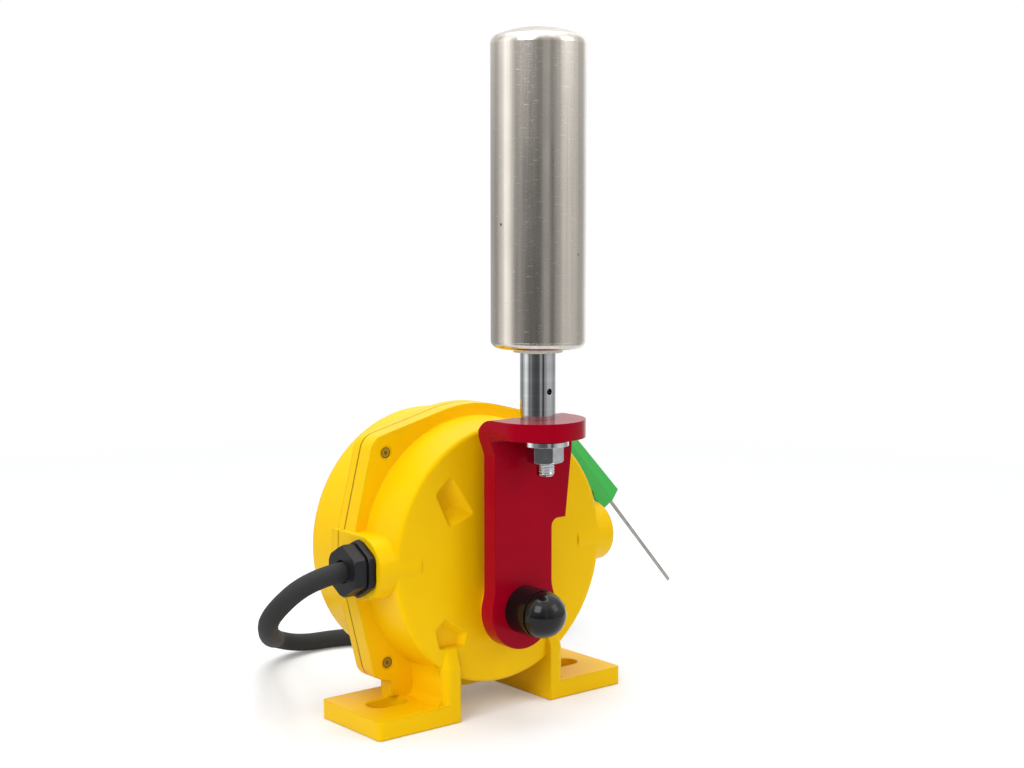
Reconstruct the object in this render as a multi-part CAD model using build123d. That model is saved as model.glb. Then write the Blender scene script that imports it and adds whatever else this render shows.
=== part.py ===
from build123d import *
import math
import os

# Belt misalignment switch. A cast housing on two slotted feet holds the switch gear. A shaft through
# its front carries a bent lever, and an upright roller on the lever's tab is pushed by the belt's edge.
# Frame: x to the right, y to the back, z up. The origin is midway between the foot slots, on the base.
# All lengths are in millimetres.

# Clearances
RUNNING_GAP = 0.05
SEAT_GAP = 0.3
FACE_GAP = 0.1

# How far joined solids and cutters run past each other, and the small bevel on turned ends
JOIN = 1.0
END_BEVEL = 1.0

# Housing, front half: a shallow bell with a flat face
FACE_Y = -24.0
FACE_R = 71.7
BELL_CLEARANCE = 16.8
FACE_EDGE_R = 2.4
BELL_DRAFT = 1.8
BELL_DEPTH = 28.0
SIDE_WALL = 5.0
FRONT_WALL = 9.0

# Flanges, gasket and rear half
FLANGE_OUT = 8.3
EAR_R = 10.0
EAR_OUT = 1.6
FRONT_FLANGE_T = 10.0
GASKET_T = 0.8
REAR_FLANGE_T = 5.7
GASKET_BAND = 9.0
DRUM_STEP = 2.3
DRUM_DEPTH = 39.0
DRUM_EDGE_R = 10.0
REAR_WALL = 4.5
FLANGE_SCREW_R = 3.0
FLANGE_SCREW_HEAD_R = 5.0
FLANGE_SCREW_HEAD_T = 6.0
SCREW_END_RECESS = 0.5
SCREW_END_R = 3.8

# Cable entries
ENTRY_R = 17.0
ENTRY_OUT = 10.3
ENTRY_BACK = 16.5
ENTRY_LENGTH = 27.0
ENTRY_BORE_R = 10.0
ENTRY_BORE_LENGTH = 32.0

# Feet and webs
FOOT_HALF_WIDTH = 85.3
FOOT_DEPTH = 55.0
FOOT_T = 10.2
FOOT_CORNER_R = 2.5
WEB_X = 31.75
WEB_T = 9.9
WEB_BELL_FILLET = 13.0
WEB_FOOT_FILLET = 4.0
RIB_X = 55.4
RIB_TOP_Z = 30.0
WEB_EDGE_R = 4.0
WEB_LEAN_DROP = 58.5
WEB_FLUSH_DROP = 48.0
SLOT_X = 61.6
SLOT_LENGTH = 24.0
SLOT_WIDTH = 14.0

# Recess in the face, one on each side: its corners are measured from the bell's middle
RECESS_DEPTH = 6.0
RECESS_CORNERS = [(-45.4, 37.3), (-35.0, 46.0), (-19.6, 24.0), (-36.0, 18.5)]
RECESS_CORNER_R = 2.5
RECESS_SIDE_SLOPE = 46.0
RECESS_FOOT_SLOPE = 35.0

# Shallow pocket in the face above each web, measured from the bell's middle as well
POCKET_DEPTH = 3.6
POCKET_CORNERS = [(-43.2, -47.2), (-45.8, -36.5), (-39.8, -31.3), (-24.9, -40.4), (-26.5, -47.6)]
POCKET_CORNER_R = 1.5
POCKET_SLOPE = 50.0

# Shaft and its bearings
SHAFT_DROP = 28.0
SHAFT_R = 8.0
REAR_JOURNAL_R = 6.0
REAR_JOURNAL_LENGTH = 9.0
SHAFT_THREAD_R = 5.9
LEVER_SEAT_R = 7.4
LEVER_SEAT_FLAT = 6.0
BUSH_WALL = 2.0
FRONT_BOSS_R = 15.0
FRONT_BUSH_LENGTH = 19.0
SEAL_T = 5.0
SEAL_R = 11.5
COLLAR_R = 12.0
COLLAR_T = 5.0

# Cams and switches
CAM_BASE_R = 14.0
CAM_LOBE_R = 18.0
CAM_T = 6.0
CAM_HUB_R = 12.0
CAM_HUB_T = 4.6
ALARM_ANGLE = 12.0
STOP_ANGLE = 30.0
CAM_RAMP = 10.0
GRUB_R = 2.0
GRUB_SOCKET_UP = 2.0
SWITCH_WIDTH = 27.8
SWITCH_T = 10.3
SWITCH_HEIGHT = 15.9
SWITCH_HOLE_PITCH = 22.2
SWITCH_HOLE_UP = 3.0
SWITCH_SCREW_R = 1.5
SWITCH_HEAD_R = 2.7
SWITCH_NUT_AF = 5.5
SWITCH_EDGE_R = 1.0
PLUNGER_R = 2.1
PLUNGER_OUT = 5.4
PLUNGER_IN = 3.0
PLUNGER_TRAVEL = 0.8
PLUNGER_NOSE_R = 1.5
BLADE_WIDTH = 4.8
BLADE_T = 0.8
BLADE_HEIGHT = 7.0
BLADE_PITCH = 9.0
BRACKET_T = 2.0
BRACKET_HEIGHT = 55.5
BRACKET_WALL_GAP = 1.25
BRACKET_Y = 13.0
BRACKET_CORNER_R = 4.0
POST_IN = 5.0
POST_DROP = 22.5
POST_R = 5.0
POST_HOLE_DEPTH = 10.0
SMALL_SCREW_R = 2.0
SMALL_HEAD_R = 3.5
SMALL_HEAD_T = 2.4
SMALL_SCREW_IN = 7.0
TERMINAL_BLOCK_DROP = 8.5
TERMINAL_BLOCK_HEIGHT = 14.0
TERMINAL_BLOCK_DEPTH = 14.0
TERMINAL_PITCH = 8.6
TERMINAL_COUNT = 6
TERMINAL_END = 2.0
TERMINAL_WELL_UP = 2.0
TERMINAL_WELL_DEPTH = 6.0
TERMINAL_ENTRY = 3.6
TERMINAL_ENTRY_DEPTH = 5.0
TERMINAL_SCREW_IN = 1.5
TERMINAL_SLOT_WIDTH = 0.7
TERMINAL_SLOT_DEPTH = 0.9
EARTH_X = -42.0
EARTH_DROP = 28.5
EARTH_POST_LENGTH = 14.0

# Return spring
SPRING_R = 12.4
SPRING_WIRE_R = 1.2
SPRING_PITCH = 3.2
SPRING_TURNS = 4.5
SPRING_LEG = 13.0
SPRING_START_Y = 29.0
SPRING_BOSS_Y = 32.5
PEG_R = 3.0
PEG_FROM_TIP = 3.0
PEG_PAST_LEG = 4.0

# Lever: a thick plate with a round head, a notch on its right, and a tab bent to the front
LEVER_T = 9.5
LEVER_GAP = 9.0
HEAD_R = 22.0
LEVER_LEFT_X = -20.0
NECK_RIGHT_X = 19.5
NOTCH_UP = 47.5
NOTCH_CORNER_R = 4.5
SHOULDER_X = 29.4
SHOULDER_TOP_X = 33.9
SHOULDER_UP = 86.5
SHOULDER_TOP_R = 8.1
FLARE_UP = 85.5
TAB_UP = 105.5
TAB_R = 25.4
BEND_INNER_R = 3.5

# Lever fastening and its dome cap
LEVER_WASHER_R = 10.4
LEVER_WASHER_T = 2.0
LEVER_NUT_AF = 18.0
LEVER_NUT_T = 8.0
SHAFT_END_OUT = 13.0
CAP_R = 12.6
CAP_WALL = 1.6
CAP_STRAIGHT = 15.8
CAP_GROOVE_DEPTH = 0.5
CAP_GROOVE_WIDTH = 1.0

# Roller axle and its eccentric stud
AXLE_OUT = 29.8
AXLE_R = 9.5
JOURNAL_R = 8.5
AXLE_SHANK = 35.3
AXLE_PAST_HUB = 7.0
TOMMY_HOLE_R = 1.7
TOMMY_HOLE_UP = 15.0
STUD_X = 3.0
STUD_Y = -2.6
STUD_R = 4.9
STUD_ROOT_R = 4.4
STUD_PAST_NUT = 7.5
AXLE_WASHER_R = 12.5
AXLE_WASHER_T = 4.8
AXLE_WASHER_CHAMFER = 2.4
AXLE_NUT_AF = 17.0
AXLE_NUT_T = 9.0
NUT_TURN = 13.8
NUT_BEVEL_SHARE = 0.6

# Roller
ROLLER_R = 25.0
ROLLER_WALL = 3.0
ROLLER_LENGTH = 166.5
DOME_RISE = 5.5
DOME_CORNER_R = 5.0
CAP_CORNER_R = 4.0
CAP_CROWN = 0.8
CAP_PLATE_T = 9.0
CAP_SPIGOT = 6.0
HUB_T = 12.0
HUB_BELOW_TOP = 35.3
ROLLER_BUSH_WALL = 2.5
BUSH_FLANGE_R = 13.0
BUSH_FLANGE_T = 1.5
BUSH_FLANGE_GAP = 0.2
CIRCLIP_T = 1.2
CIRCLIP_R = 10.6
CIRCLIP_GROOVE = 0.6

# Cable gland
GLAND_RING_AF = 27.0
GLAND_RING_T = 4.5
GLAND_THREAD_IN = 10.0
GLAND_STUB_R = 9.4
GLAND_STUB_OUT = 4.8
GLAND_NUT_AF = 24.4
GLAND_NUT_T = 7.8
GLAND_MOUTH_R = 6.2
GLAND_FACE_T = 3.0
GLAND_BORE_R = 8.0
PLUG_T = 10.0
PLUG_SOCKET_AF = 8.0
PLUG_SOCKET_DEPTH = 5.0

# Cable
CABLE_R = 5.35
SHEATH_T = 1.0
CABLE_IN = 4.0
COIL_TURN_R = 61.0
COIL_TURNS = 3
COIL_CENTRE = (96.0, 141.0)
CABLE_BENDS = [(-119.6, -7.5, 88.5), (-141.0, 4.0, 66.9), (-138.5, 29.0, 41.5), (-94.0, 73.0, 35.5),
               (-57.7, 130.4, 17.5), (-24.1, 148.3, 5.35), (5.8, 145.4, 5.35), (29.7, 130.8, 5.35),
               (45.1, 107.4, 5.35)]
BEND_SHARE = 0.45

# Screwdriver for the terminals, held in a spring clip on the bell's side
TOOL_BACK = 20.0
TOOL_ANGLE = -48.2
TOOL_STAND = 11.3
GRIP_TOP_HALF_WIDTH = 5.0
GRIP_HALF_WIDTH = 8.0
GRIP_HALF_T = 3.4
GRIP_EDGE_HALF_T = 1.4
GRIP_START = -14.0
GRIP_END = 52.8
BLADE_R = 1.0
BLADE_END = 127.8
BLADE_HOLD = 15.0
BLADE_TIP = 6.0
BLADE_TIP_HALF_T = 0.3
GRIP_NOTCH_S = 38.0
GRIP_NOTCH_R = 2.0
CLIP_S = -7.0
CLIP_LENGTH = 9.0
CLIP_WALL = 1.2
CLIP_MOUTH = 3.0
CLIP_TAIL = 9.0
CLIP_HOLE_IN = 3.6
CLIP_SCREW_R = 1.5
CLIP_HEAD_R = 2.4
CLIP_HEAD_T = 1.6
CLIP_SCREW_IN = 4.0

# Sizes that follow from the ones above
HOUSING_Z = FACE_R + BELL_CLEARANCE
FLANGE_R = FACE_R + FLANGE_OUT
EAR_OFFSET = (FLANGE_R + EAR_OUT) / math.sqrt(2)
DRUM_R = FACE_R + DRUM_STEP
ENTRY_X = FACE_R + ENTRY_OUT
ENTRY_Y = FACE_Y + ENTRY_BACK
WEB_LEAN_Z = HOUSING_Z - WEB_LEAN_DROP
WEB_FLUSH_Z = HOUSING_Z - WEB_FLUSH_DROP
SHAFT_Z = HOUSING_Z - SHAFT_DROP
EARTH_Z = HOUSING_Z - EARTH_DROP
TOOL_Y = FACE_Y + TOOL_BACK
TOOL_OFFSET = FACE_R + TOOL_STAND
NOTCH_Z = SHAFT_Z + NOTCH_UP
SHOULDER_TOP_Z = SHAFT_Z + SHOULDER_UP
FLARE_Z = SHAFT_Z + FLARE_UP
TAB_TOP_Z = SHAFT_Z + TAB_UP
AXLE_Y = FACE_Y - AXLE_OUT
AXLE_SHOULDER_Z = TAB_TOP_Z + AXLE_SHANK
TOMMY_HOLE_Z = TAB_TOP_Z + TOMMY_HOLE_UP
ROLLER_BOTTOM_Z = AXLE_SHOULDER_Z + BUSH_FLANGE_GAP + BUSH_FLANGE_T + CAP_CROWN
ROLLER_TOP_Z = ROLLER_BOTTOM_Z + ROLLER_LENGTH
HUB_TOP_Z = ROLLER_TOP_Z - HUB_BELOW_TOP
AXLE_TOP_Z = HUB_TOP_Z + AXLE_PAST_HUB
FLANGE_Y = FACE_Y + BELL_DEPTH
FRONT_BACK_Y = FLANGE_Y + FRONT_FLANGE_T
REAR_FRONT_Y = FRONT_BACK_Y + GASKET_T
DRUM_Y = REAR_FRONT_Y + REAR_FLANGE_T
BACK_Y = DRUM_Y + DRUM_DEPTH
CAVITY_R = FACE_R - SIDE_WALL
CAVITY_Y = FACE_Y + FRONT_WALL
FOOT_FRONT_Y = -FOOT_DEPTH / 2
LEVER_BACK_Y = FACE_Y - LEVER_GAP
LEVER_FRONT_Y = LEVER_BACK_Y - LEVER_T
BEND_OUTER_R = BEND_INNER_R + LEVER_T
TAB_BOTTOM_Z = TAB_TOP_Z - LEVER_T
BOSS_FRONT_Y = LEVER_BACK_Y + 2 * SEAT_GAP
BUSH_FRONT_Y = BOSS_FRONT_Y + SEAL_T
BUSH_BACK_Y = BUSH_FRONT_Y + FRONT_BUSH_LENGTH
REAR_INNER_Y = BACK_Y - REAR_WALL
REAR_BUSH_Y = REAR_INNER_Y - REAR_JOURNAL_LENGTH
REAR_BOSS_R = SPRING_R - SPRING_WIRE_R - SEAT_GAP
SPRING_BACK_Y = SPRING_START_Y + SPRING_PITCH * SPRING_TURNS
SWITCH_BOTTOM_Z = SHAFT_Z + CAM_LOBE_R + FACE_GAP + PLUNGER_OUT
SWITCH_HOLE_Z = SWITCH_BOTTOM_Z + SWITCH_HOLE_UP
ALARM_Y = BRACKET_Y - SWITCH_T / 2
STOP_Y = BRACKET_Y + BRACKET_T + SWITCH_T / 2
BRACKET_TOP_Z = SWITCH_BOTTOM_Z + BRACKET_HEIGHT
BRACKET_HALF_WIDTH = math.sqrt((CAVITY_R - BRACKET_WALL_GAP) ** 2 - (BRACKET_TOP_Z - HOUSING_Z) ** 2)
POST_X = BRACKET_HALF_WIDTH - POST_IN
POST_Z = BRACKET_TOP_Z - POST_DROP
TERMINAL_BLOCK_Z = BRACKET_TOP_Z - TERMINAL_BLOCK_DROP
TERMINAL_SCREW_Z = TERMINAL_BLOCK_Z + TERMINAL_WELL_UP
ROLLER_BORE_R = ROLLER_R - ROLLER_WALL
BUSH_OUTER_R = JOURNAL_R + ROLLER_BUSH_WALL
CAP_SEAM_Z = ROLLER_BOTTOM_Z + CAP_CORNER_R
AXLE_NUT_TOP_Z = TAB_BOTTOM_Z - AXLE_WASHER_T
AXLE_NUT_LOW_Z = AXLE_NUT_TOP_Z - AXLE_NUT_T
STUD_END_Z = AXLE_NUT_LOW_Z - STUD_PAST_NUT
GLAND_NUT_X = ENTRY_X + GLAND_RING_T + SEAT_GAP
GLAND_FACE_X = GLAND_NUT_X + GLAND_NUT_T
SEAL_FACE_X = GLAND_FACE_X - GLAND_FACE_T
CLIP_FOOT_HIGH = -GRIP_TOP_HALF_WIDTH - SEAT_GAP - CLIP_WALL
CLIP_FOOT_LOW = FACE_R - TOOL_OFFSET
CLIP_END_S = CLIP_S - CLIP_LENGTH / 2 - CLIP_TAIL


def front_plane(y):
    """Plane of a front view at depth y, where the sketch's y is the part's z."""
    return Plane(origin=(0, y, 0), x_dir=(1, 0, 0), z_dir=(0, -1, 0))


def front_slab(outline, y_low, y_high):
    """Front view outline in (x, z), given depth from y_low to y_high."""
    return extrude(front_plane(y_high) * outline, y_high - y_low)


def side_slab(outline, x_low, x_high):
    """Side view outline in (y, z), given width from x_low to x_high."""
    plane = Plane(origin=(x_low, 0, 0), x_dir=(0, 1, 0), z_dir=(1, 0, 0))
    return extrude(plane * outline, x_high - x_low)


def plan_slab(outline, z_low, z_high):
    """Plan view outline in (x, y), given height from z_low to z_high."""
    return extrude(Pos(0, 0, z_low) * outline, z_high - z_low)


def y_cylinder(radius, y_low, y_high, x=0.0, z=0.0):
    return front_slab(Pos(x, z) * Circle(radius), y_low, y_high)


def x_cylinder(radius, x_low, x_high, y, z):
    return side_slab(Pos(y, z) * Circle(radius), x_low, x_high)


def z_cylinder(radius, z_low, z_high, x, y):
    return plan_slab(Pos(x, y) * Circle(radius), z_low, z_high)


def polygon(points):
    return make_face(Polyline(*points, close=True))


def hexagon(across_flats, turn=0.0):
    """Hexagon with a corner on its first axis, turned by an angle in degrees."""
    return Rot(0, 0, turn) * RegularPolygon(across_flats / math.sqrt(3), 6)


def turned_about_y(profile, x, z):
    """Turn an (r, y) profile about the line through (x, z) that runs front to back."""
    return revolve(Pos(x, 0, z) * profile, Axis((x, 0, z), (0, 1, 0)))


def turned_about_z(profile, x, y):
    """Turn an (r, z) profile about the upright line through (x, y)."""
    plane = Plane(origin=(x, y, 0), x_dir=(1, 0, 0), z_dir=(0, -1, 0))
    return revolve(plane * profile, Axis((x, y, 0), (0, 0, 1)))


def turned_about_x(profile, y, z):
    """Turn an (x, r) profile about the line through (y, z) that runs left to right."""
    plane = Plane(origin=(0, y, z), x_dir=(1, 0, 0), z_dir=(0, -1, 0))
    return revolve(plane * profile, Axis((0, y, z), (1, 0, 0)))


def flange_outline():
    """Round flange drawn out to four ears, as a front view."""
    ears = [Pos(sx * EAR_OFFSET, sz * EAR_OFFSET) * Circle(EAR_R) for sx in (-1, 1) for sz in (-1, 1)]
    rounds = [Circle(FLANGE_R)] + ears
    edges = [edge for shape in rounds for edge in shape.edges()]
    return Pos(0, HOUSING_Z) * make_hull(edges)


def ear_centres():
    """Centres of the four flange screws, as (x, z)."""
    return [(sx * EAR_OFFSET, HOUSING_Z + sz * EAR_OFFSET) for sx in (-1, 1) for sz in (-1, 1)]


def bell_solid():
    """Outer form of the front half: a drafted drum with a rounded front edge."""
    back_r = FACE_R + BELL_DRAFT
    edge = CenterArc((FACE_R - FACE_EDGE_R, FACE_Y + FACE_EDGE_R), FACE_EDGE_R, 0, -90)
    rest = Polyline((FACE_R, FACE_Y + FACE_EDGE_R), (back_r, FLANGE_Y + JOIN), (0, FLANGE_Y + JOIN),
                    (0, FACE_Y), (FACE_R - FACE_EDGE_R, FACE_Y))
    return turned_about_y(make_face(edge + rest), 0, HOUSING_Z)


def entry_section():
    """Side view of a cable entry: a round nose that widens to a square pad across the flanges."""
    depth = FRONT_BACK_Y - ENTRY_Y
    pad = Pos(ENTRY_Y + depth / 2, HOUSING_Z) * Rectangle(depth, 2 * ENTRY_R)
    return Pos(ENTRY_Y, HOUSING_Z) * Circle(ENTRY_R) + pad


def web_outline():
    """Front view of the webs that rise from the feet and run into the bell with large fillets."""
    disc = Pos(0, HOUSING_Z) * Circle(FACE_R)
    outline = disc
    web_mid = WEB_X + WEB_T / 2
    for side in (-1, 1):
        outline += Pos(side * web_mid, HOUSING_Z / 2) * Rectangle(WEB_T, HOUSING_Z)
        foot_mid = (WEB_X + FOOT_HALF_WIDTH) / 2
        outline += Pos(side * foot_mid, FOOT_T / 2) * Rectangle(FOOT_HALF_WIDTH - WEB_X, FOOT_T)
    reach = WEB_X + WEB_T
    bell_z = HOUSING_Z - math.sqrt(FACE_R ** 2 - reach ** 2)
    bell_corners = [v for v in outline.vertices() if abs(v.Y - bell_z) < 0.01]
    outline = fillet(bell_corners, WEB_BELL_FILLET)
    foot_corners = [v for v in outline.vertices()
                    if abs(v.Y - FOOT_T) < 0.01 and abs(abs(v.X) - reach) < 0.01]
    return fillet(foot_corners, WEB_FOOT_FILLET)


def foot_plates():
    """Two flat feet with rounded corners and a slot along x in each."""
    feet = []
    for side in (-1, 1):
        mid = side * (WEB_X + FOOT_HALF_WIDTH) / 2
        plan = Pos(mid, 0) * RectangleRounded(FOOT_HALF_WIDTH - WEB_X, FOOT_DEPTH, FOOT_CORNER_R)
        feet.append(plan_slab(plan, 0, FOOT_T))
    return feet


def slot_cutters():
    slot = SlotOverall(SLOT_LENGTH, SLOT_WIDTH)
    return [plan_slab(Pos(side * SLOT_X, 0) * slot, -JOIN, FOOT_T + JOIN) for side in (-1, 1)]


def web_fronts():
    """Fronts of the webs: level with the feet, then leaning back to the face, with a round outer edge."""
    reach = WEB_X + WEB_T
    profile = polygon([(FOOT_FRONT_Y, 0), (FOOT_FRONT_Y, WEB_LEAN_Z), (FACE_Y, WEB_FLUSH_Z),
                       (FLANGE_Y, WEB_FLUSH_Z), (FLANGE_Y, 0)])
    fronts = []
    for side in (-1, 1):
        low_x, high_x = sorted((side * WEB_X, side * reach))
        front = side_slab(profile, low_x, high_x)
        outer = [edge for edge in front.edges()
                 if abs(abs(edge.center().X) - reach) < 0.01 and edge.center().Y < FACE_Y]
        fronts.append(fillet(outer, WEB_EDGE_R))
    return fronts


def foot_blends():
    """Fillets between the feet and the outer sides of the webs, brought forward to the webs' round edges."""
    top = FOOT_T + WEB_FOOT_FILLET + JOIN
    low_part = web_outline() & (Pos(0, top / 2) * Rectangle(2 * FOOT_HALF_WIDTH, top))
    return front_slab(low_part, FOOT_FRONT_Y + WEB_EDGE_R, FLANGE_Y)


def face_pocket(corners, depth, corner_r, slopes):
    """Pocket in the face that deepens away from some of its edges.

    The corners run clockwise from the front, and slopes gives the angle of an edge by its first corner.
    """
    points = [(x, HOUSING_Z + z) for x, z in corners]
    outline = fillet(polygon(points).vertices(), corner_r)
    block = front_slab(outline, FACE_Y - JOIN, FACE_Y + depth)
    for first, slope in slopes.items():
        start = points[first]
        end = points[(first + 1) % len(points)]
        along = Vector(end[0] - start[0], 0, end[1] - start[1]).normalized()
        inward = Vector(along.Z, 0, -along.X)
        rise = math.radians(slope)
        normal = Vector(0, 1, 0) * math.cos(rise) - inward * math.sin(rise)
        cut = Plane(origin=(start[0], FACE_Y, start[1]), z_dir=normal)
        block = split(block, bisect_by=cut, keep=Keep.BOTTOM)
    return block


def face_cutters():
    """Both pockets of the left half of the face, and their mirror images."""
    high_slopes = {1: RECESS_SIDE_SLOPE, 2: RECESS_FOOT_SLOPE}
    high = face_pocket(RECESS_CORNERS, RECESS_DEPTH, RECESS_CORNER_R, high_slopes)
    low = face_pocket(POCKET_CORNERS, POCKET_DEPTH, POCKET_CORNER_R, {2: POCKET_SLOPE, 3: POCKET_SLOPE})
    return [cutter for pocket in (high, low) for cutter in (pocket, mirror(pocket, Plane.YZ))]


def front_housing():
    """Front half: bell, flange, cable entries, webs and feet in one casting, hollow from the back."""
    body = bell_solid() + front_slab(flange_outline(), FLANGE_Y, FRONT_BACK_Y)
    body += front_slab(web_outline(), FACE_Y + FACE_EDGE_R, FLANGE_Y + JOIN)
    for side in (-1, 1):
        low_x, high_x = sorted((side * (ENTRY_X - ENTRY_LENGTH), side * ENTRY_X))
        body += side_slab(entry_section(), low_x, high_x)
        rib_mid = side * (WEB_X + RIB_X) / 2
        rib = Pos(rib_mid, RIB_TOP_Z / 2) * Rectangle(RIB_X - WEB_X, RIB_TOP_Z)
        body += front_slab(rib, FLANGE_Y, FRONT_BACK_Y)
    body += foot_plates()
    body += web_fronts()
    body += foot_blends()
    body += y_cylinder(FRONT_BOSS_R, BOSS_FRONT_Y, FACE_Y + JOIN, 0, SHAFT_Z)
    body -= y_cylinder(CAVITY_R, CAVITY_Y, FRONT_BACK_Y + JOIN, 0, HOUSING_Z)
    body += y_cylinder(FRONT_BOSS_R, CAVITY_Y - JOIN, BUSH_BACK_Y, 0, SHAFT_Z)
    for x in (-POST_X, POST_X):
        body += y_cylinder(POST_R, CAVITY_Y - JOIN, BRACKET_Y, x, POST_Z)
        body -= y_cylinder(SMALL_SCREW_R, BRACKET_Y - POST_HOLE_DEPTH, BRACKET_Y + JOIN, x, POST_Z)
    earth_y = CAVITY_Y + EARTH_POST_LENGTH
    body += y_cylinder(POST_R, CAVITY_Y - JOIN, earth_y, EARTH_X, EARTH_Z)
    body -= y_cylinder(SMALL_SCREW_R, earth_y - POST_HOLE_DEPTH, earth_y + JOIN, EARTH_X, EARTH_Z)
    body -= y_cylinder(SHAFT_R + BUSH_WALL, BUSH_FRONT_Y - JOIN, BUSH_BACK_Y + JOIN, 0, SHAFT_Z)
    body -= y_cylinder(SEAL_R, BOSS_FRONT_Y - JOIN, BUSH_FRONT_Y, 0, SHAFT_Z)
    for side in (-1, 1):
        low_x, high_x = sorted((side * (ENTRY_X - ENTRY_BORE_LENGTH), side * (ENTRY_X + JOIN)))
        body -= x_cylinder(ENTRY_BORE_R, low_x, high_x, ENTRY_Y, HOUSING_Z)
    for x, z in ear_centres():
        body -= y_cylinder(FLANGE_SCREW_R, FLANGE_Y - JOIN, FRONT_BACK_Y + JOIN, x, z)
        body -= y_cylinder(SCREW_END_R, FLANGE_Y - JOIN, FLANGE_Y + SCREW_END_RECESS, x, z)
    body -= slot_cutters()
    body -= clip_shank(CLIP_SCREW_R)
    body -= face_cutters()
    return body


def rear_housing():
    """Rear half: a deep cover with a rounded back edge, its flange, entry pads and the rear bearing boss."""
    body = front_slab(Pos(0, HOUSING_Z) * Circle(DRUM_R), REAR_FRONT_Y, BACK_Y)
    back_edges = body.faces().sort_by(Axis.Y)[-1].edges()
    body = fillet(back_edges, DRUM_EDGE_R)
    body += front_slab(flange_outline(), REAR_FRONT_Y, DRUM_Y)
    pad = Pos(0, HOUSING_Z) * Rectangle(2 * ENTRY_X, 2 * ENTRY_R)
    body += front_slab(pad, REAR_FRONT_Y, DRUM_Y)
    cavity = front_slab(Pos(0, HOUSING_Z) * Circle(DRUM_R - SIDE_WALL), REAR_FRONT_Y - JOIN, REAR_INNER_Y)
    inner_edges = cavity.faces().sort_by(Axis.Y)[-1].edges()
    body -= fillet(inner_edges, DRUM_EDGE_R - REAR_WALL)
    body += y_cylinder(REAR_BOSS_R, SPRING_BOSS_Y, REAR_INNER_Y + JOIN, 0, SHAFT_Z)
    body -= y_cylinder(SHAFT_R + SEAT_GAP, SPRING_BOSS_Y - JOIN, REAR_BUSH_Y, 0, SHAFT_Z)
    body -= y_cylinder(REAR_JOURNAL_R + BUSH_WALL, REAR_BUSH_Y - JOIN, REAR_INNER_Y, 0, SHAFT_Z)
    peg_x, peg_z = spring_peg_place()
    body += y_cylinder(PEG_R, SPRING_BACK_Y - PEG_PAST_LEG, REAR_INNER_Y + JOIN, peg_x, peg_z)
    for x, z in ear_centres():
        body -= y_cylinder(FLANGE_SCREW_R + SEAT_GAP, REAR_FRONT_Y - JOIN, DRUM_Y + JOIN, x, z)
    return body


def housing_gasket():
    """Flat rubber gasket that follows the flange, with holes for the screws."""
    body = front_slab(flange_outline(), FRONT_BACK_Y, REAR_FRONT_Y)
    body = body - y_cylinder(FLANGE_R - GASKET_BAND, FRONT_BACK_Y - JOIN, REAR_FRONT_Y + JOIN, 0, HOUSING_Z)
    for x, z in ear_centres():
        body -= y_cylinder(FLANGE_SCREW_R + SEAT_GAP, FRONT_BACK_Y - JOIN, REAR_FRONT_Y + JOIN, x, z)
    return body


def socket_screw(radius, head_r, head_t, length, socket_af):
    """Socket head screw along y: the shank runs forward from y = 0 and the head stands behind it."""
    body = y_cylinder(radius, -length, 0) + y_cylinder(head_r, 0, head_t)
    return body - front_slab(hexagon(socket_af), head_t / 2, head_t + JOIN)


def pan_screw(radius, head_r, head_t, length):
    """Slotted screw along y: the shank runs forward from y = 0 and the head stands behind it."""
    body = y_cylinder(radius, -length, 0) + y_cylinder(head_r, 0, head_t)
    return body - front_slab(Rectangle(2 * head_r + JOIN, head_r / 4), head_t / 2, head_t + JOIN)


def flange_screws():
    length = DRUM_Y - FLANGE_Y - SCREW_END_RECESS
    head_r = FLANGE_SCREW_HEAD_R
    screw = socket_screw(FLANGE_SCREW_R, head_r, FLANGE_SCREW_HEAD_T, length, head_r)
    return [Pos(x, DRUM_Y, z) * screw for x, z in ear_centres()]


def ring_y(outer_r, inner_r, y_low, y_high, x=0.0, z=0.0):
    """Plain ring along y."""
    return front_slab(Pos(x, z) * (Circle(outer_r) - Circle(inner_r)), y_low, y_high)


def front_bush():
    return ring_y(SHAFT_R + BUSH_WALL, SHAFT_R + RUNNING_GAP, BUSH_FRONT_Y, BUSH_BACK_Y, 0, SHAFT_Z)


def rear_bush():
    inner_r = REAR_JOURNAL_R + RUNNING_GAP
    return ring_y(REAR_JOURNAL_R + BUSH_WALL, inner_r, REAR_BUSH_Y, REAR_INNER_Y, 0, SHAFT_Z)


def shaft_seal():
    return ring_y(SEAL_R, SHAFT_R + RUNNING_GAP, BOSS_FRONT_Y, BUSH_FRONT_Y, 0, SHAFT_Z)


def lever_seat(clearance):
    """Round with two flats, as a front view: the shaft's seat, and the lever's hole around it."""
    return Circle(LEVER_SEAT_R + clearance) & Rectangle(2 * (LEVER_SEAT_FLAT + clearance), 4 * LEVER_SEAT_R)


def main_shaft():
    """Stepped shaft: thread and flats for the lever in front, a plain middle and a rear journal."""
    thread = y_cylinder(SHAFT_THREAD_R, LEVER_FRONT_Y - SHAFT_END_OUT, LEVER_FRONT_Y + JOIN, 0, SHAFT_Z)
    thread = chamfer(thread.faces().sort_by(Axis.Y)[0].edges(), END_BEVEL)
    seat = front_slab(Pos(0, SHAFT_Z) * lever_seat(0), LEVER_FRONT_Y + SEAT_GAP, LEVER_BACK_Y)
    body = thread + seat
    body += y_cylinder(SHAFT_R, LEVER_BACK_Y, REAR_BUSH_Y - SEAT_GAP, 0, SHAFT_Z)
    body += y_cylinder(REAR_JOURNAL_R, REAR_BUSH_Y - JOIN, REAR_INNER_Y - SEAT_GAP, 0, SHAFT_Z)
    return body


def shaft_collar():
    """Collar that keeps the shaft from sliding forward through its front bush."""
    low = BUSH_BACK_Y + SEAT_GAP
    return ring_y(COLLAR_R, SHAFT_R, low, low + COLLAR_T, 0, SHAFT_Z)


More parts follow.
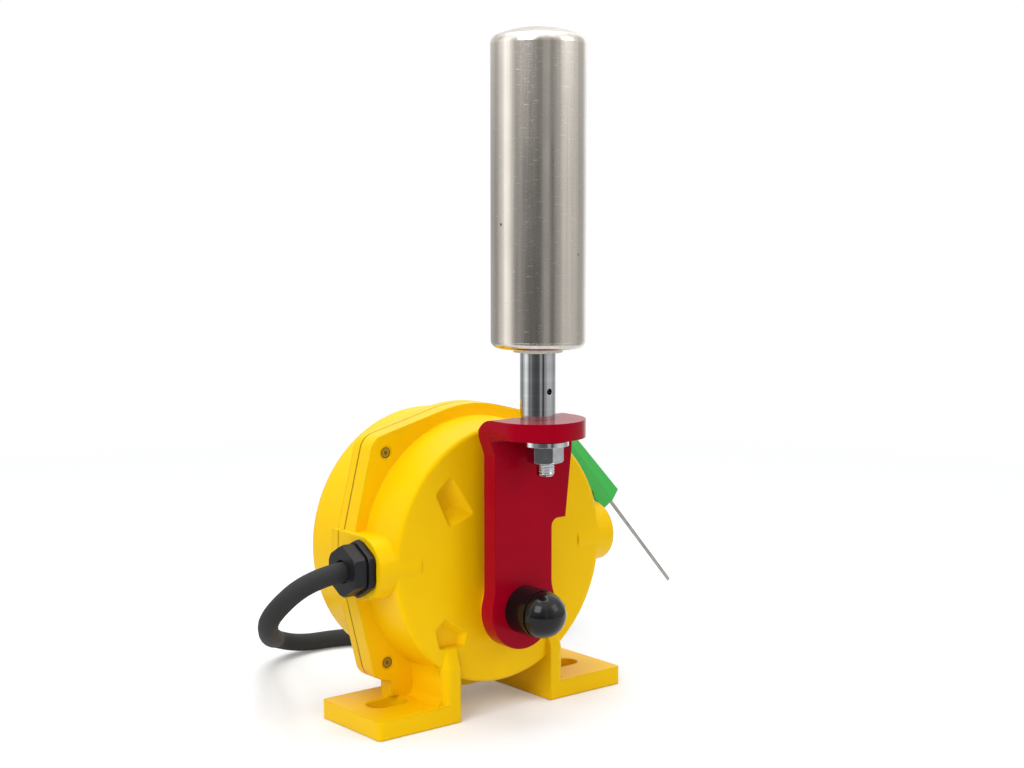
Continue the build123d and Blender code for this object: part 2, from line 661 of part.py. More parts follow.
def cam(middle_y, half_angle):
    """Cam disc with a hub: its raised arc holds the plunger in until the shaft has turned half_angle."""
    low = middle_y - CAM_T / 2
    reach = 2 * CAM_LOBE_R
    inner = math.radians(half_angle)
    outer = math.radians(half_angle + CAM_RAMP)
    wide = [(reach * math.sin(a), reach * math.cos(a)) for a in (-outer, -inner, 0, inner, outer)]
    lobe = Circle(CAM_LOBE_R) & polygon([(0, 0)] + wide)
    narrow = Circle(CAM_BASE_R) + lobe
    body = front_slab(Pos(0, SHAFT_Z) * narrow, low, low + CAM_T)
    body += y_cylinder(CAM_HUB_R, low - CAM_HUB_T, low + JOIN, 0, SHAFT_Z)
    body -= y_cylinder(SHAFT_R, low - CAM_HUB_T - JOIN, low + CAM_T + JOIN, 0, SHAFT_Z)
    return body - z_cylinder(GRUB_R, SHAFT_Z, SHAFT_Z + CAM_HUB_R + JOIN, 0, grub_y(middle_y))


def grub_y(middle_y):
    return middle_y - CAM_T / 2 - CAM_HUB_T / 2


def cam_screws():
    """Grub screws that lock the two cams to the shaft."""
    screws = []
    for middle_y in (ALARM_Y, STOP_Y):
        low_z = SHAFT_Z + SHAFT_R
        body = z_cylinder(GRUB_R - RUNNING_GAP, low_z, SHAFT_Z + CAM_HUB_R - SEAT_GAP, 0, grub_y(middle_y))
        flats = Pos(0, grub_y(middle_y)) * hexagon(GRUB_R)
        screws.append(body - plan_slab(flats, low_z + GRUB_SOCKET_UP, SHAFT_Z + CAM_HUB_R))
    return screws


def switch_body(middle_y):
    """Small snap switch with a plunger well below and two through holes."""
    box = Pos(0, SWITCH_BOTTOM_Z + SWITCH_HEIGHT / 2) * Rectangle(SWITCH_WIDTH, SWITCH_HEIGHT)
    low = middle_y - SWITCH_T / 2
    body = front_slab(box, low, low + SWITCH_T)
    body = fillet(body.edges().filter_by(Axis.Y), SWITCH_EDGE_R)
    for side in (-1, 1):
        x = side * SWITCH_HOLE_PITCH / 2
        body -= y_cylinder(SWITCH_SCREW_R + FACE_GAP, low - JOIN, low + SWITCH_T + JOIN, x, SWITCH_HOLE_Z)
    well_top = SWITCH_BOTTOM_Z + PLUNGER_IN + PLUNGER_TRAVEL + SEAT_GAP
    return body - z_cylinder(PLUNGER_R + FACE_GAP, SWITCH_BOTTOM_Z - JOIN, well_top, 0, middle_y)


def plunger(middle_y):
    """Round-nosed plunger that stands on its cam."""
    low = SHAFT_Z + CAM_LOBE_R + FACE_GAP
    body = z_cylinder(PLUNGER_R, low, SWITCH_BOTTOM_Z + PLUNGER_IN, 0, middle_y)
    return fillet(body.faces().sort_by(Axis.Z)[0].edges(), PLUNGER_NOSE_R)


def switch_terminals():
    """Three flat blades on top of each switch."""
    low = SWITCH_BOTTOM_Z + SWITCH_HEIGHT
    blades = []
    for middle_y in (ALARM_Y, STOP_Y):
        for place in (-1, 0, 1):
            blade = Pos(place * BLADE_PITCH, middle_y) * Rectangle(BLADE_WIDTH, BLADE_T)
            blades.append(plan_slab(blade, low, low + BLADE_HEIGHT))
    return blades


def switch_bracket():
    """Steel plate that carries both switches and the terminal block on two posts of the housing."""
    plate = RectangleRounded(2 * BRACKET_HALF_WIDTH, BRACKET_HEIGHT, BRACKET_CORNER_R)
    outline = Pos(0, SWITCH_BOTTOM_Z + BRACKET_HEIGHT / 2) * plate
    body = front_slab(outline, BRACKET_Y, BRACKET_Y + BRACKET_T)
    holes = [(side * POST_X, POST_Z, SMALL_SCREW_R) for side in (-1, 1)]
    holes += [(side * SWITCH_HOLE_PITCH / 2, SWITCH_HOLE_Z, SWITCH_SCREW_R) for side in (-1, 1)]
    for x, z, radius in holes:
        body -= y_cylinder(radius + FACE_GAP, BRACKET_Y - JOIN, BRACKET_Y + BRACKET_T + JOIN, x, z)
    return body


def bracket_screws():
    screw = pan_screw(SMALL_SCREW_R - RUNNING_GAP, SMALL_HEAD_R, SMALL_HEAD_T, BRACKET_T + SMALL_SCREW_IN)
    return [Pos(side * POST_X, BRACKET_Y + BRACKET_T, POST_Z) * screw for side in (-1, 1)]


def switch_screws():
    """Long screws that clamp both switches to the bracket, with plain nuts in front."""
    back = STOP_Y + SWITCH_T / 2
    front = ALARM_Y - SWITCH_T / 2
    length = back - front + SMALL_HEAD_T
    screw = pan_screw(SWITCH_SCREW_R, SWITCH_HEAD_R, SMALL_HEAD_T, length)
    nut = front_slab(hexagon(SWITCH_NUT_AF) - Circle(SWITCH_SCREW_R), front - SMALL_HEAD_T, front)
    places = [side * SWITCH_HOLE_PITCH / 2 for side in (-1, 1)]
    return [Pos(x, back, SWITCH_HOLE_Z) * screw + Pos(x, 0, SWITCH_HOLE_Z) * nut for x in places]


def terminal_places():
    return [(i - (TERMINAL_COUNT - 1) / 2) * TERMINAL_PITCH for i in range(TERMINAL_COUNT)]


def terminal_block():
    """Moulded strip with a screw well for each pole and a wire entry below it."""
    low = BRACKET_Y + BRACKET_T
    width = TERMINAL_COUNT * TERMINAL_PITCH + TERMINAL_END
    outline = Pos(0, TERMINAL_BLOCK_Z) * Rectangle(width, TERMINAL_BLOCK_HEIGHT)
    body = front_slab(outline, low, low + TERMINAL_BLOCK_DEPTH)
    back = low + TERMINAL_BLOCK_DEPTH
    bottom = TERMINAL_BLOCK_Z - TERMINAL_BLOCK_HEIGHT / 2
    well_r = SMALL_SCREW_R + SEAT_GAP
    for x in terminal_places():
        body -= y_cylinder(well_r, back - TERMINAL_WELL_DEPTH, back + JOIN, x, TERMINAL_SCREW_Z)
        entry = Pos(x, low + TERMINAL_BLOCK_DEPTH / 2) * Rectangle(TERMINAL_ENTRY, TERMINAL_ENTRY)
        body -= plan_slab(entry, bottom - JOIN, bottom + TERMINAL_ENTRY_DEPTH)
    return body


def terminal_screws():
    block_back = BRACKET_Y + BRACKET_T + TERMINAL_BLOCK_DEPTH
    low = block_back - TERMINAL_WELL_DEPTH
    back = block_back - TERMINAL_SCREW_IN
    screws = []
    for x in terminal_places():
        body = y_cylinder(SMALL_SCREW_R, low, back, x, TERMINAL_SCREW_Z)
        slot = Pos(x, TERMINAL_SCREW_Z) * Rectangle(2 * SMALL_SCREW_R + JOIN, TERMINAL_SLOT_WIDTH)
        screws.append(body - front_slab(slot, back - TERMINAL_SLOT_DEPTH, back + JOIN))
    return screws


def earth_screw():
    screw = pan_screw(SMALL_SCREW_R - RUNNING_GAP, SMALL_HEAD_R, SMALL_HEAD_T, SMALL_SCREW_IN)
    return Pos(EARTH_X, CAVITY_Y + EARTH_POST_LENGTH, EARTH_Z) * screw


def spring_peg_place():
    """Centre, as (x, z), of the peg in the rear housing that the spring's fixed leg bears on."""
    reach = SPRING_LEG - PEG_FROM_TIP
    offset = SPRING_R + SPRING_WIRE_R + PEG_R + FACE_GAP
    angle = 2 * math.pi * SPRING_TURNS
    x = offset * math.cos(angle) - reach * math.sin(angle)
    z = -offset * math.sin(angle) - reach * math.cos(angle)
    return x, SHAFT_Z + z


def return_spring():
    """Torsion spring on the rear bearing boss, with a straight leg at each end."""
    path = Helix(SPRING_PITCH, SPRING_BACK_Y - SPRING_START_Y, SPRING_R)
    start = Plane(origin=path @ 0, z_dir=path % 0)
    coil = sweep(start * Circle(SPRING_WIRE_R), path=path)
    legs = []
    for end, sense in ((0, -1), (1, 1)):
        tangent = (path % end) * sense
        flat = Vector(tangent.X, tangent.Y, 0).normalized()
        legs.append(extrude(Plane(origin=path @ end, z_dir=flat) * Circle(SPRING_WIRE_R), SPRING_LEG))
    spring = coil + legs
    turn = Location((0, SPRING_START_Y, SHAFT_Z), (1, 0, 0), -90)
    return turn * spring


def lever_outline():
    """Front view of the lever: round head, straight left side, notch and wide shoulder on the right."""
    high = TAB_TOP_Z + JOIN
    points = [(LEVER_LEFT_X, SHAFT_Z), (NECK_RIGHT_X, SHAFT_Z), (NECK_RIGHT_X, NOTCH_Z),
              (SHOULDER_X, NOTCH_Z), (SHOULDER_TOP_X, SHOULDER_TOP_Z), (SHOULDER_TOP_X, TAB_BOTTOM_Z),
              (TAB_R, TAB_BOTTOM_Z), (TAB_R, high), (-TAB_R, high),
              (-TAB_R, TAB_BOTTOM_Z + BEND_INNER_R), (LEVER_LEFT_X, FLARE_Z)]
    outline = polygon(points) + Pos(0, SHAFT_Z) * Circle(HEAD_R)
    notch = outline.vertices().sort_by_distance((NECK_RIGHT_X, NOTCH_Z))[0]
    outline = fillet(notch, NOTCH_CORNER_R)
    corner = outline.vertices().sort_by_distance((SHOULDER_TOP_X, TAB_BOTTOM_Z))[0]
    outline = fillet(corner, SHOULDER_TOP_R)
    joins = []
    for x in (LEVER_LEFT_X, NECK_RIGHT_X):
        z = SHAFT_Z + math.sqrt(HEAD_R ** 2 - x ** 2)
        joins.append(outline.vertices().sort_by_distance((x, z))[0])
    return fillet(joins, HEAD_R)


def lever_plate():
    """Thick plate bent to the front at its top, cut to its outline in front view and in plan."""
    low = SHAFT_Z - HEAD_R - JOIN
    front = AXLE_Y - TAB_R - JOIN
    side = polygon([(LEVER_BACK_Y, low), (LEVER_BACK_Y, TAB_TOP_Z), (front, TAB_TOP_Z),
                    (front, TAB_BOTTOM_Z), (LEVER_FRONT_Y, TAB_BOTTOM_Z), (LEVER_FRONT_Y, low)])
    side = fillet(side.vertices().sort_by_distance((LEVER_BACK_Y, TAB_TOP_Z))[0], BEND_OUTER_R)
    side = fillet(side.vertices().sort_by_distance((LEVER_FRONT_Y, TAB_BOTTOM_Z))[0], BEND_INNER_R)
    width = SHOULDER_TOP_X + 5.0
    plan = Pos(0, AXLE_Y) * Circle(TAB_R)
    plan += Pos(0, (AXLE_Y + LEVER_BACK_Y) / 2) * Rectangle(2 * TAB_R, LEVER_BACK_Y - AXLE_Y)
    plan += Pos(0, (LEVER_FRONT_Y + LEVER_BACK_Y) / 2) * Rectangle(2 * width, LEVER_T)
    body = side_slab(side, -width, width)
    body = body & front_slab(lever_outline(), front - JOIN, LEVER_BACK_Y + JOIN)
    body = body & plan_slab(plan, low - JOIN, TAB_TOP_Z + JOIN)
    body -= front_slab(Pos(0, SHAFT_Z) * lever_seat(RUNNING_GAP), LEVER_FRONT_Y - JOIN, LEVER_BACK_Y + JOIN)
    hole_r = STUD_R + FACE_GAP
    return body - z_cylinder(hole_r, TAB_BOTTOM_Z - JOIN, TAB_TOP_Z + JOIN, STUD_X, AXLE_Y + STUD_Y)


def nut_blank(across_flats, thickness):
    """Hexagon nut body along z from z = 0, with its corners chamfered at both faces."""
    corner_r = across_flats / math.sqrt(3)
    bevel = (corner_r - across_flats / 2) * NUT_BEVEL_SHARE
    blank = chamfer(z_cylinder(corner_r, 0, thickness, 0, 0).edges().filter_by(GeomType.CIRCLE), bevel)
    return plan_slab(hexagon(across_flats), 0, thickness) & blank


def to_front(body, y, z):
    """Lays a part built along z so that its z = 0 face is at depth y and it points to the front."""
    return Location((0, y, z), (1, 0, 0), 90) * body


def shaft_washer():
    low = LEVER_FRONT_Y - LEVER_WASHER_T
    return ring_y(LEVER_WASHER_R, SHAFT_THREAD_R + FACE_GAP, low, LEVER_FRONT_Y, 0, SHAFT_Z)


def shaft_nut():
    nut = nut_blank(LEVER_NUT_AF, LEVER_NUT_T) - z_cylinder(SHAFT_THREAD_R, -JOIN, LEVER_NUT_T + JOIN, 0, 0)
    return to_front(nut, LEVER_FRONT_Y - LEVER_WASHER_T, SHAFT_Z)


def dome_cap():
    """Hollow cap over the shaft nut: a straight skirt, a groove and a round dome."""
    skirt_r = CAP_R + CAP_GROOVE_DEPTH
    body = z_cylinder(skirt_r, 0, CAP_STRAIGHT - CAP_GROOVE_WIDTH, 0, 0)
    body += z_cylinder(CAP_R - CAP_GROOVE_DEPTH, 0, CAP_STRAIGHT, 0, 0)
    dome = Pos(0, 0, CAP_STRAIGHT) * Sphere(CAP_R)
    body += dome & z_cylinder(2 * CAP_R, CAP_STRAIGHT, CAP_STRAIGHT + 2 * CAP_R, 0, 0)
    inner_r = CAP_R - CAP_WALL
    hollow = z_cylinder(inner_r, -JOIN, CAP_STRAIGHT, 0, 0) + Pos(0, 0, CAP_STRAIGHT) * Sphere(inner_r)
    return to_front(body - hollow, LEVER_FRONT_Y, SHAFT_Z)


def roller_axle():
    """Upright axle with a cross hole, on an eccentric stud whose free end is turned to its thread's root."""
    body = z_cylinder(AXLE_R, TAB_TOP_Z, AXLE_SHOULDER_Z, 0, AXLE_Y)
    journal = z_cylinder(JOURNAL_R, AXLE_SHOULDER_Z - JOIN, AXLE_TOP_Z, 0, AXLE_Y)
    body += chamfer(journal.faces().sort_by(Axis.Z)[-1].edges(), END_BEVEL)
    stud = z_cylinder(STUD_R, STUD_END_Z, TAB_TOP_Z + JOIN, STUD_X, AXLE_Y + STUD_Y)
    body += chamfer(stud.faces().sort_by(Axis.Z)[0].edges(), END_BEVEL)
    turned_off = Pos(STUD_X, AXLE_Y + STUD_Y) * (Circle(STUD_R + JOIN) - Circle(STUD_ROOT_R))
    body -= plan_slab(turned_off, STUD_END_Z - JOIN, AXLE_NUT_LOW_Z)
    body -= y_cylinder(TOMMY_HOLE_R, AXLE_Y - AXLE_R - JOIN, AXLE_Y + AXLE_R + JOIN, 0, TOMMY_HOLE_Z)
    groove = Circle(JOURNAL_R + JOIN) - Circle(JOURNAL_R - CIRCLIP_GROOVE)
    low = circlip_z()
    return body - plan_slab(Pos(0, AXLE_Y) * groove, low, low + CIRCLIP_T + FACE_GAP)


def circlip_z():
    return HUB_TOP_Z + SEAT_GAP


def axle_circlip():
    ring = Circle(CIRCLIP_R) - Circle(JOURNAL_R - CIRCLIP_GROOVE)
    ring -= Pos(0, -JOURNAL_R) * Rectangle(JOURNAL_R, 2 * JOURNAL_R)
    low = circlip_z()
    return plan_slab(Pos(0, AXLE_Y) * ring, low, low + CIRCLIP_T)


def axle_washer():
    x, y = STUD_X, AXLE_Y + STUD_Y
    body = z_cylinder(AXLE_WASHER_R, AXLE_NUT_TOP_Z, TAB_BOTTOM_Z, x, y)
    body = chamfer(body.faces().sort_by(Axis.Z)[-1].edges(), AXLE_WASHER_CHAMFER)
    return body - z_cylinder(STUD_R + FACE_GAP, AXLE_NUT_TOP_Z - JOIN, TAB_BOTTOM_Z + JOIN, x, y)


def axle_nut():
    nut = nut_blank(AXLE_NUT_AF, AXLE_NUT_T) - z_cylinder(STUD_R, -JOIN, AXLE_NUT_T + JOIN, 0, 0)
    return Pos(STUD_X, AXLE_Y + STUD_Y, AXLE_NUT_LOW_Z) * (Rot(0, 0, NUT_TURN) * nut)


def domed_bar(radius, top, rise, corner_r, low):
    """Upright bar from z = low, with a ball-shaped top of the given rise and a rounded shoulder."""
    crown_r = (radius ** 2 + rise ** 2) / (2 * rise)
    start = math.degrees(math.atan2(crown_r - rise, radius))
    crown = CenterArc((0, top - crown_r), crown_r, start, 90 - start)
    profile = make_face(crown + Polyline((0, top), (0, low), (radius, low), (radius, top - rise)))
    shoulder = profile.vertices().sort_by_distance((radius, top - rise))[0]
    return turned_about_z(fillet(shoulder, corner_r), 0, AXLE_Y)


def roller_shell():
    """Stainless tube, closed on top by a shallow dome."""
    outer = domed_bar(ROLLER_R, ROLLER_TOP_Z, DOME_RISE, DOME_CORNER_R, CAP_SEAM_Z)
    inner_top = ROLLER_TOP_Z - ROLLER_WALL
    inner_corner_r = DOME_CORNER_R - ROLLER_WALL
    return outer - domed_bar(ROLLER_BORE_R, inner_top, DOME_RISE, inner_corner_r, CAP_SEAM_Z - JOIN)


def roller_bottom_cap():
    """End cap with a rounded corner and a slightly crowned face, on a spigot inside the tube."""
    corner_x = ROLLER_R - CAP_CORNER_R
    corner = CenterArc((corner_x, CAP_SEAM_Z), CAP_CORNER_R, -90, 90)
    top = ROLLER_BOTTOM_Z + CAP_PLATE_T
    spigot_top = CAP_SEAM_Z + CAP_SPIGOT
    spigot_in = ROLLER_BORE_R - ROLLER_WALL
    rest = Polyline((ROLLER_R, CAP_SEAM_Z), (ROLLER_BORE_R, CAP_SEAM_Z), (ROLLER_BORE_R, spigot_top),
                    (spigot_in, spigot_top), (spigot_in, top), (BUSH_OUTER_R, top),
                    (BUSH_OUTER_R, ROLLER_BOTTOM_Z - CAP_CROWN), (corner_x, ROLLER_BOTTOM_Z))
    return turned_about_z(make_face(corner + rest), 0, AXLE_Y)


def ring_z(outer_r, inner_r, z_low, z_high):
    """Plain ring about the axle."""
    return plan_slab(Pos(0, AXLE_Y) * (Circle(outer_r) - Circle(inner_r)), z_low, z_high)


def roller_lower_bush():
    """Flanged bush; its flange shows as a small collar under the roller."""
    seat = ROLLER_BOTTOM_Z - CAP_CROWN
    low = seat - BUSH_FLANGE_T
    inner_r = JOURNAL_R + RUNNING_GAP
    sleeve = ring_z(BUSH_OUTER_R, inner_r, low, ROLLER_BOTTOM_Z + CAP_PLATE_T)
    return sleeve + ring_z(BUSH_FLANGE_R, inner_r, low, seat)


def roller_upper_hub():
    return ring_z(ROLLER_BORE_R, BUSH_OUTER_R, HUB_TOP_Z - HUB_T, HUB_TOP_Z)


def roller_upper_bush():
    return ring_z(BUSH_OUTER_R, JOURNAL_R + RUNNING_GAP, HUB_TOP_Z - HUB_T, HUB_TOP_Z)


def to_left_entry(body):
    """Places a part built along z, outward from z = 0 at the face of the left cable entry."""
    return Location((-ENTRY_X, ENTRY_Y, HOUSING_Z), (0, 1, 0), -90) * body


def gland_body():
    """Gland body: thread into the housing, hexagon against its face, and a threaded stub for the nut."""
    body = nut_blank(GLAND_RING_AF, GLAND_RING_T)
    body += z_cylinder(ENTRY_BORE_R, -GLAND_THREAD_IN, JOIN, 0, 0)
    body += z_cylinder(GLAND_STUB_R, 0, GLAND_RING_T + GLAND_STUB_OUT, 0, 0)
    body -= z_cylinder(GLAND_BORE_R, -GLAND_THREAD_IN - JOIN, GLAND_RING_T + GLAND_STUB_OUT + JOIN, 0, 0)
    return to_left_entry(body)


def gland_nut():
    """Cap nut of the gland, with a round mouth for the cable."""
    body = nut_blank(GLAND_NUT_AF, GLAND_NUT_T)
    body -= z_cylinder(GLAND_STUB_R + FACE_GAP, -JOIN, GLAND_NUT_T - GLAND_FACE_T, 0, 0)
    body -= z_cylinder(GLAND_MOUTH_R, -JOIN, GLAND_NUT_T + JOIN, 0, 0)
    return to_left_entry(Pos(0, 0, GLAND_NUT_X - ENTRY_X) * body)


def gland_seal():
    """Rubber sleeve in the gland's bore, with a step inside that the cable's sheath stands on."""
    out = SEAL_FACE_X - ENTRY_X
    body = z_cylinder(GLAND_BORE_R, 0, out, 0, 0)
    body -= z_cylinder(CABLE_R + FACE_GAP, cable_step(), out + JOIN, 0, 0)
    body -= z_cylinder(CABLE_R - SHEATH_T, -JOIN, out, 0, 0)
    return to_left_entry(body)


def cable_step():
    """Distance from the entry's face to the step that the cable ends on."""
    return SEAL_FACE_X - ENTRY_X - CABLE_IN


def blanking_plug():
    """Flush plug in the spare cable entry on the right."""
    body = z_cylinder(ENTRY_BORE_R, -PLUG_T, 0, 0, 0)
    body -= plan_slab(hexagon(PLUG_SOCKET_AF), -PLUG_SOCKET_DEPTH, JOIN)
    return Location((ENTRY_X, ENTRY_Y, HOUSING_Z), (0, 1, 0), 90) * body


def cable_radii(points):
    """Arc radius for each bend: as large as its two runs allow."""
    radii = []
    for before, bend, after in zip(points, points[1:], points[2:]):
        run_in = Vector(*bend) - Vector(*before)
        run_out = Vector(*after) - Vector(*bend)
        half_turn = math.radians(run_in.get_angle(run_out)) / 2
        radii.append(BEND_SHARE * min(run_in.length, run_out.length) / math.tan(half_turn))
    return radii


def cable():
    """Cable from the gland's seal, down to the floor and round behind the switch to its coil."""
    points = [(-ENTRY_X - cable_step(), ENTRY_Y, HOUSING_Z)] + CABLE_BENDS
    radii = cable_radii(points)
    print("cable bend radii", [round(radius, 1) for radius in radii])
    route = FilletPolyline(*points, radius=radii)
    start = Plane(origin=route @ 0, z_dir=route % 0)
    tube = sweep(start * Circle(CABLE_R), path=route)
    print("cable volume over section times length", tube.volume / (math.pi * CABLE_R ** 2 * route.length))
    return tube


def cable_coil():
    """Outer shape of the coiled rest of the cable: a ring of stacked turns on the floor."""
    ring = Circle(COIL_TURN_R + CABLE_R) - Circle(COIL_TURN_R - CABLE_R)
    return plan_slab(Pos(*COIL_CENTRE) * ring, 0, COIL_TURNS * 2 * CABLE_R)


def tool_plane(s):
    """Cross-section plane of the screwdriver at s along it: x is away from the bell, y is to the front."""
    angle = math.radians(TOOL_ANGLE)
    along = Vector(math.cos(angle), 0, math.sin(angle))
    away = Vector(-math.sin(angle), 0, math.cos(angle))
    middle = Vector(0, TOOL_Y, HOUSING_Z) + away * TOOL_OFFSET + along * s
    return Plane(origin=middle, x_dir=away, z_dir=along)


def grip_section(s, margin):
    """Flat six-sided section of the grip, wider towards the blade, grown by a margin."""
    share = (s - GRIP_START) / (GRIP_END - GRIP_START)
    half = GRIP_TOP_HALF_WIDTH + (GRIP_HALF_WIDTH - GRIP_TOP_HALF_WIDTH) * share + margin
    ridge = GRIP_HALF_T + margin
    edge = GRIP_EDGE_HALF_T + margin
    return polygon([(half, edge), (0, ridge), (-half, edge), (-half, -edge), (0, -ridge), (half, -edge)])


def tool_grip():
    """Plastic grip that widens towards the blade, with a finger notch on its inner side."""
    body = loft([tool_plane(s) * grip_section(s, 0) for s in (GRIP_START, GRIP_END)])
    notch = tool_plane(GRIP_NOTCH_S) * Pos(-GRIP_HALF_WIDTH - GRIP_NOTCH_R, 0) * Rot(90, 0, 0)
    body -= notch * Cylinder(2 * GRIP_NOTCH_R, 4 * GRIP_HALF_T)
    return body - extrude(tool_plane(GRIP_END - BLADE_HOLD) * Circle(BLADE_R), BLADE_HOLD + JOIN)


def tool_blade():
    """Thin round blade with a flattened tip."""
    start = GRIP_END - BLADE_HOLD
    body = extrude(tool_plane(start) * Circle(BLADE_R), BLADE_END - start)
    for side in (-1, 1):
        flat = Pos(0, side * (BLADE_TIP_HALF_T + BLADE_R)) * Rectangle(4 * BLADE_R, 2 * BLADE_R)
        body -= extrude(tool_plane(BLADE_END - BLADE_TIP) * flat, BLADE_TIP + JOIN)
    return body


def clip_screw_plane():
    """Plane on the clip's tail, square to the bell, with its z axis away from the bell."""
    section = tool_plane(CLIP_END_S + CLIP_HOLE_IN)
    seat = section.from_local_coords((CLIP_FOOT_HIGH, 0, 0))
    return Plane(origin=seat, x_dir=section.z_dir, z_dir=section.x_dir)


def clip_shank(radius):
    """Shank of the clip's screw, or its hole, from the tail's outer face into the bell."""
    length = CLIP_FOOT_HIGH - CLIP_FOOT_LOW + CLIP_SCREW_IN
    return extrude(clip_screw_plane() * Circle(radius), -length)


def clip_screw():
    """Slotted screw that holds the clip's tail on the bell."""
    seat = clip_screw_plane()
    body = clip_shank(CLIP_SCREW_R - RUNNING_GAP) + extrude(seat * Circle(CLIP_HEAD_R), CLIP_HEAD_T)
    slot = Rectangle(2 * CLIP_HEAD_R + JOIN, CLIP_HEAD_R / 4)
    return body - extrude(seat * Pos(0, 0, CLIP_HEAD_T / 2) * slot, CLIP_HEAD_T)


def tool_clip():
    """Spring clip around the grip, open on its outer side, on a foot shaped to the bell."""
    inner = grip_section(CLIP_S + CLIP_LENGTH / 2, SEAT_GAP)
    outer = grip_section(CLIP_S + CLIP_LENGTH / 2, SEAT_GAP + CLIP_WALL)
    jaw = outer - inner - Pos(GRIP_HALF_WIDTH, 0) * Rectangle(GRIP_HALF_WIDTH, CLIP_MOUTH)
    body = extrude(tool_plane(CLIP_S - CLIP_LENGTH / 2) * jaw, CLIP_LENGTH)
    foot_low = CLIP_FOOT_LOW - BELL_DRAFT - JOIN
    foot = Pos((foot_low + CLIP_FOOT_HIGH) / 2, 0) * Rectangle(CLIP_FOOT_HIGH - foot_low, 2 * GRIP_HALF_T)
    body += extrude(tool_plane(CLIP_END_S) * foot, CLIP_LENGTH + CLIP_TAIL)
    return body - bell_solid() - clip_shank(CLIP_SCREW_R + FACE_GAP)


PARTS = {
    "front_housing": front_housing(),
    "rear_housing": rear_housing(),
    "housing_gasket": housing_gasket(),
    "flange_screws": flange_screws(),
    "front_bush": front_bush(),
    "rear_bush": rear_bush(),
    "shaft_seal": shaft_seal(),
    "main_shaft": main_shaft(),
    "shaft_collar": shaft_collar(),
    "alarm_cam": cam(ALARM_Y, ALARM_ANGLE),
    "stop_cam": cam(STOP_Y, STOP_ANGLE),
    "cam_screws": cam_screws(),
    "alarm_switch": switch_body(ALARM_Y),
    "stop_switch": switch_body(STOP_Y),
    "alarm_plunger": plunger(ALARM_Y),
    "stop_plunger": plunger(STOP_Y),
    "switch_terminals": switch_terminals(),
    "switch_bracket": switch_bracket(),
    "bracket_screws": bracket_screws(),
    "switch_screws": switch_screws(),
    "terminal_block": terminal_block(),
    "terminal_screws": terminal_screws(),
    "earth_screw": earth_screw(),
    "return_spring": return_spring(),
    "lever_plate": lever_plate(),
    "shaft_washer": shaft_washer(),
    "shaft_nut": shaft_nut(),
    "dome_cap": dome_cap(),
    "roller_axle": roller_axle(),
    "axle_circlip": axle_circlip(),
    "axle_washer": axle_washer(),
    "axle_nut": axle_nut(),
    "roller_shell": roller_shell(),
    "roller_bottom_cap": roller_bottom_cap(),
    "roller_lower_bush": roller_lower_bush(),
    "roller_upper_hub": roller_upper_hub(),
    "roller_upper_bush": roller_upper_bush(),
    "gland_body": gland_body(),
    "gland_nut": gland_nut(),
    "gland_seal": gland_seal(),
    "blanking_plug": blanking_plug(),
    "tool_grip": tool_grip(),
    "tool_blade": tool_blade(),
    "tool_clip": tool_clip(),
    "clip_screw": clip_screw(),
    "cable": cable(),
    "cable_coil": cable_coil(),
}

os.makedirs("parts", exist_ok=True)
for node, shape in PARTS.items():
    if isinstance(shape, list):
        shape = Compound(children=shape)
    export_step(shape, f"parts/{node}.step")
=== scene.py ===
"""Looks of a conveyor belt misalignment switch: its finishes, cable, stud thread, studio and camera."""

import logging
import math
from dataclasses import dataclass, field
from enum import Enum
from typing import ClassVar, Union

import bpy
import numpy as np
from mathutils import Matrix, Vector


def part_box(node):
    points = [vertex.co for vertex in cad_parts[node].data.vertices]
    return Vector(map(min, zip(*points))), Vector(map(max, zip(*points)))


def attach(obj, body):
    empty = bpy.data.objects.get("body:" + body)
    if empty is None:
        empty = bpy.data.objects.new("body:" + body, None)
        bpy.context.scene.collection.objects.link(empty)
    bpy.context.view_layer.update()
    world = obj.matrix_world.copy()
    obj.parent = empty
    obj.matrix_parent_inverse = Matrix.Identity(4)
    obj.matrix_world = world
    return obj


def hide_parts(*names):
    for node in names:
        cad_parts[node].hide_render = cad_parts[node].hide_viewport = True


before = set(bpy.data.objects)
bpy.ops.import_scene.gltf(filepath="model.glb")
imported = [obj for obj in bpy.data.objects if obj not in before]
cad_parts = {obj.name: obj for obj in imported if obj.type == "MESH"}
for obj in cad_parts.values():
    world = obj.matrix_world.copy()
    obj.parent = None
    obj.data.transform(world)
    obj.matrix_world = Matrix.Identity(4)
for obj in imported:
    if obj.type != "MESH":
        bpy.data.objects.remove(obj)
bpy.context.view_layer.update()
LOG = logging.getLogger("belt_switch")
MM = 0.001

Colour = tuple[float, float, float]
Point = tuple[float, float, float]
Band = tuple[float, float]
Value = Union["Wire", float]
Settings = dict[str, object]
Sockets = dict[int | str, object]


class Body(Enum):
    """Moving bodies that new pieces ride on."""

    BASE = "base"
    LEVER = "lever"


class Grain(Enum):
    """Direction that a metal was worked in: the axis along which its marks stay the same."""

    UPRIGHT = (1.0, 1.0, 0.012)
    TURNED = (0.02, 0.02, 1.0)
    PLAIN = (1.0, 1.0, 1.0)


class Ray(Enum):
    """Kind of ray, by its output on the Light Path node."""

    CAMERA = "Is Camera Ray"
    MIRROR = "Is Glossy Ray"


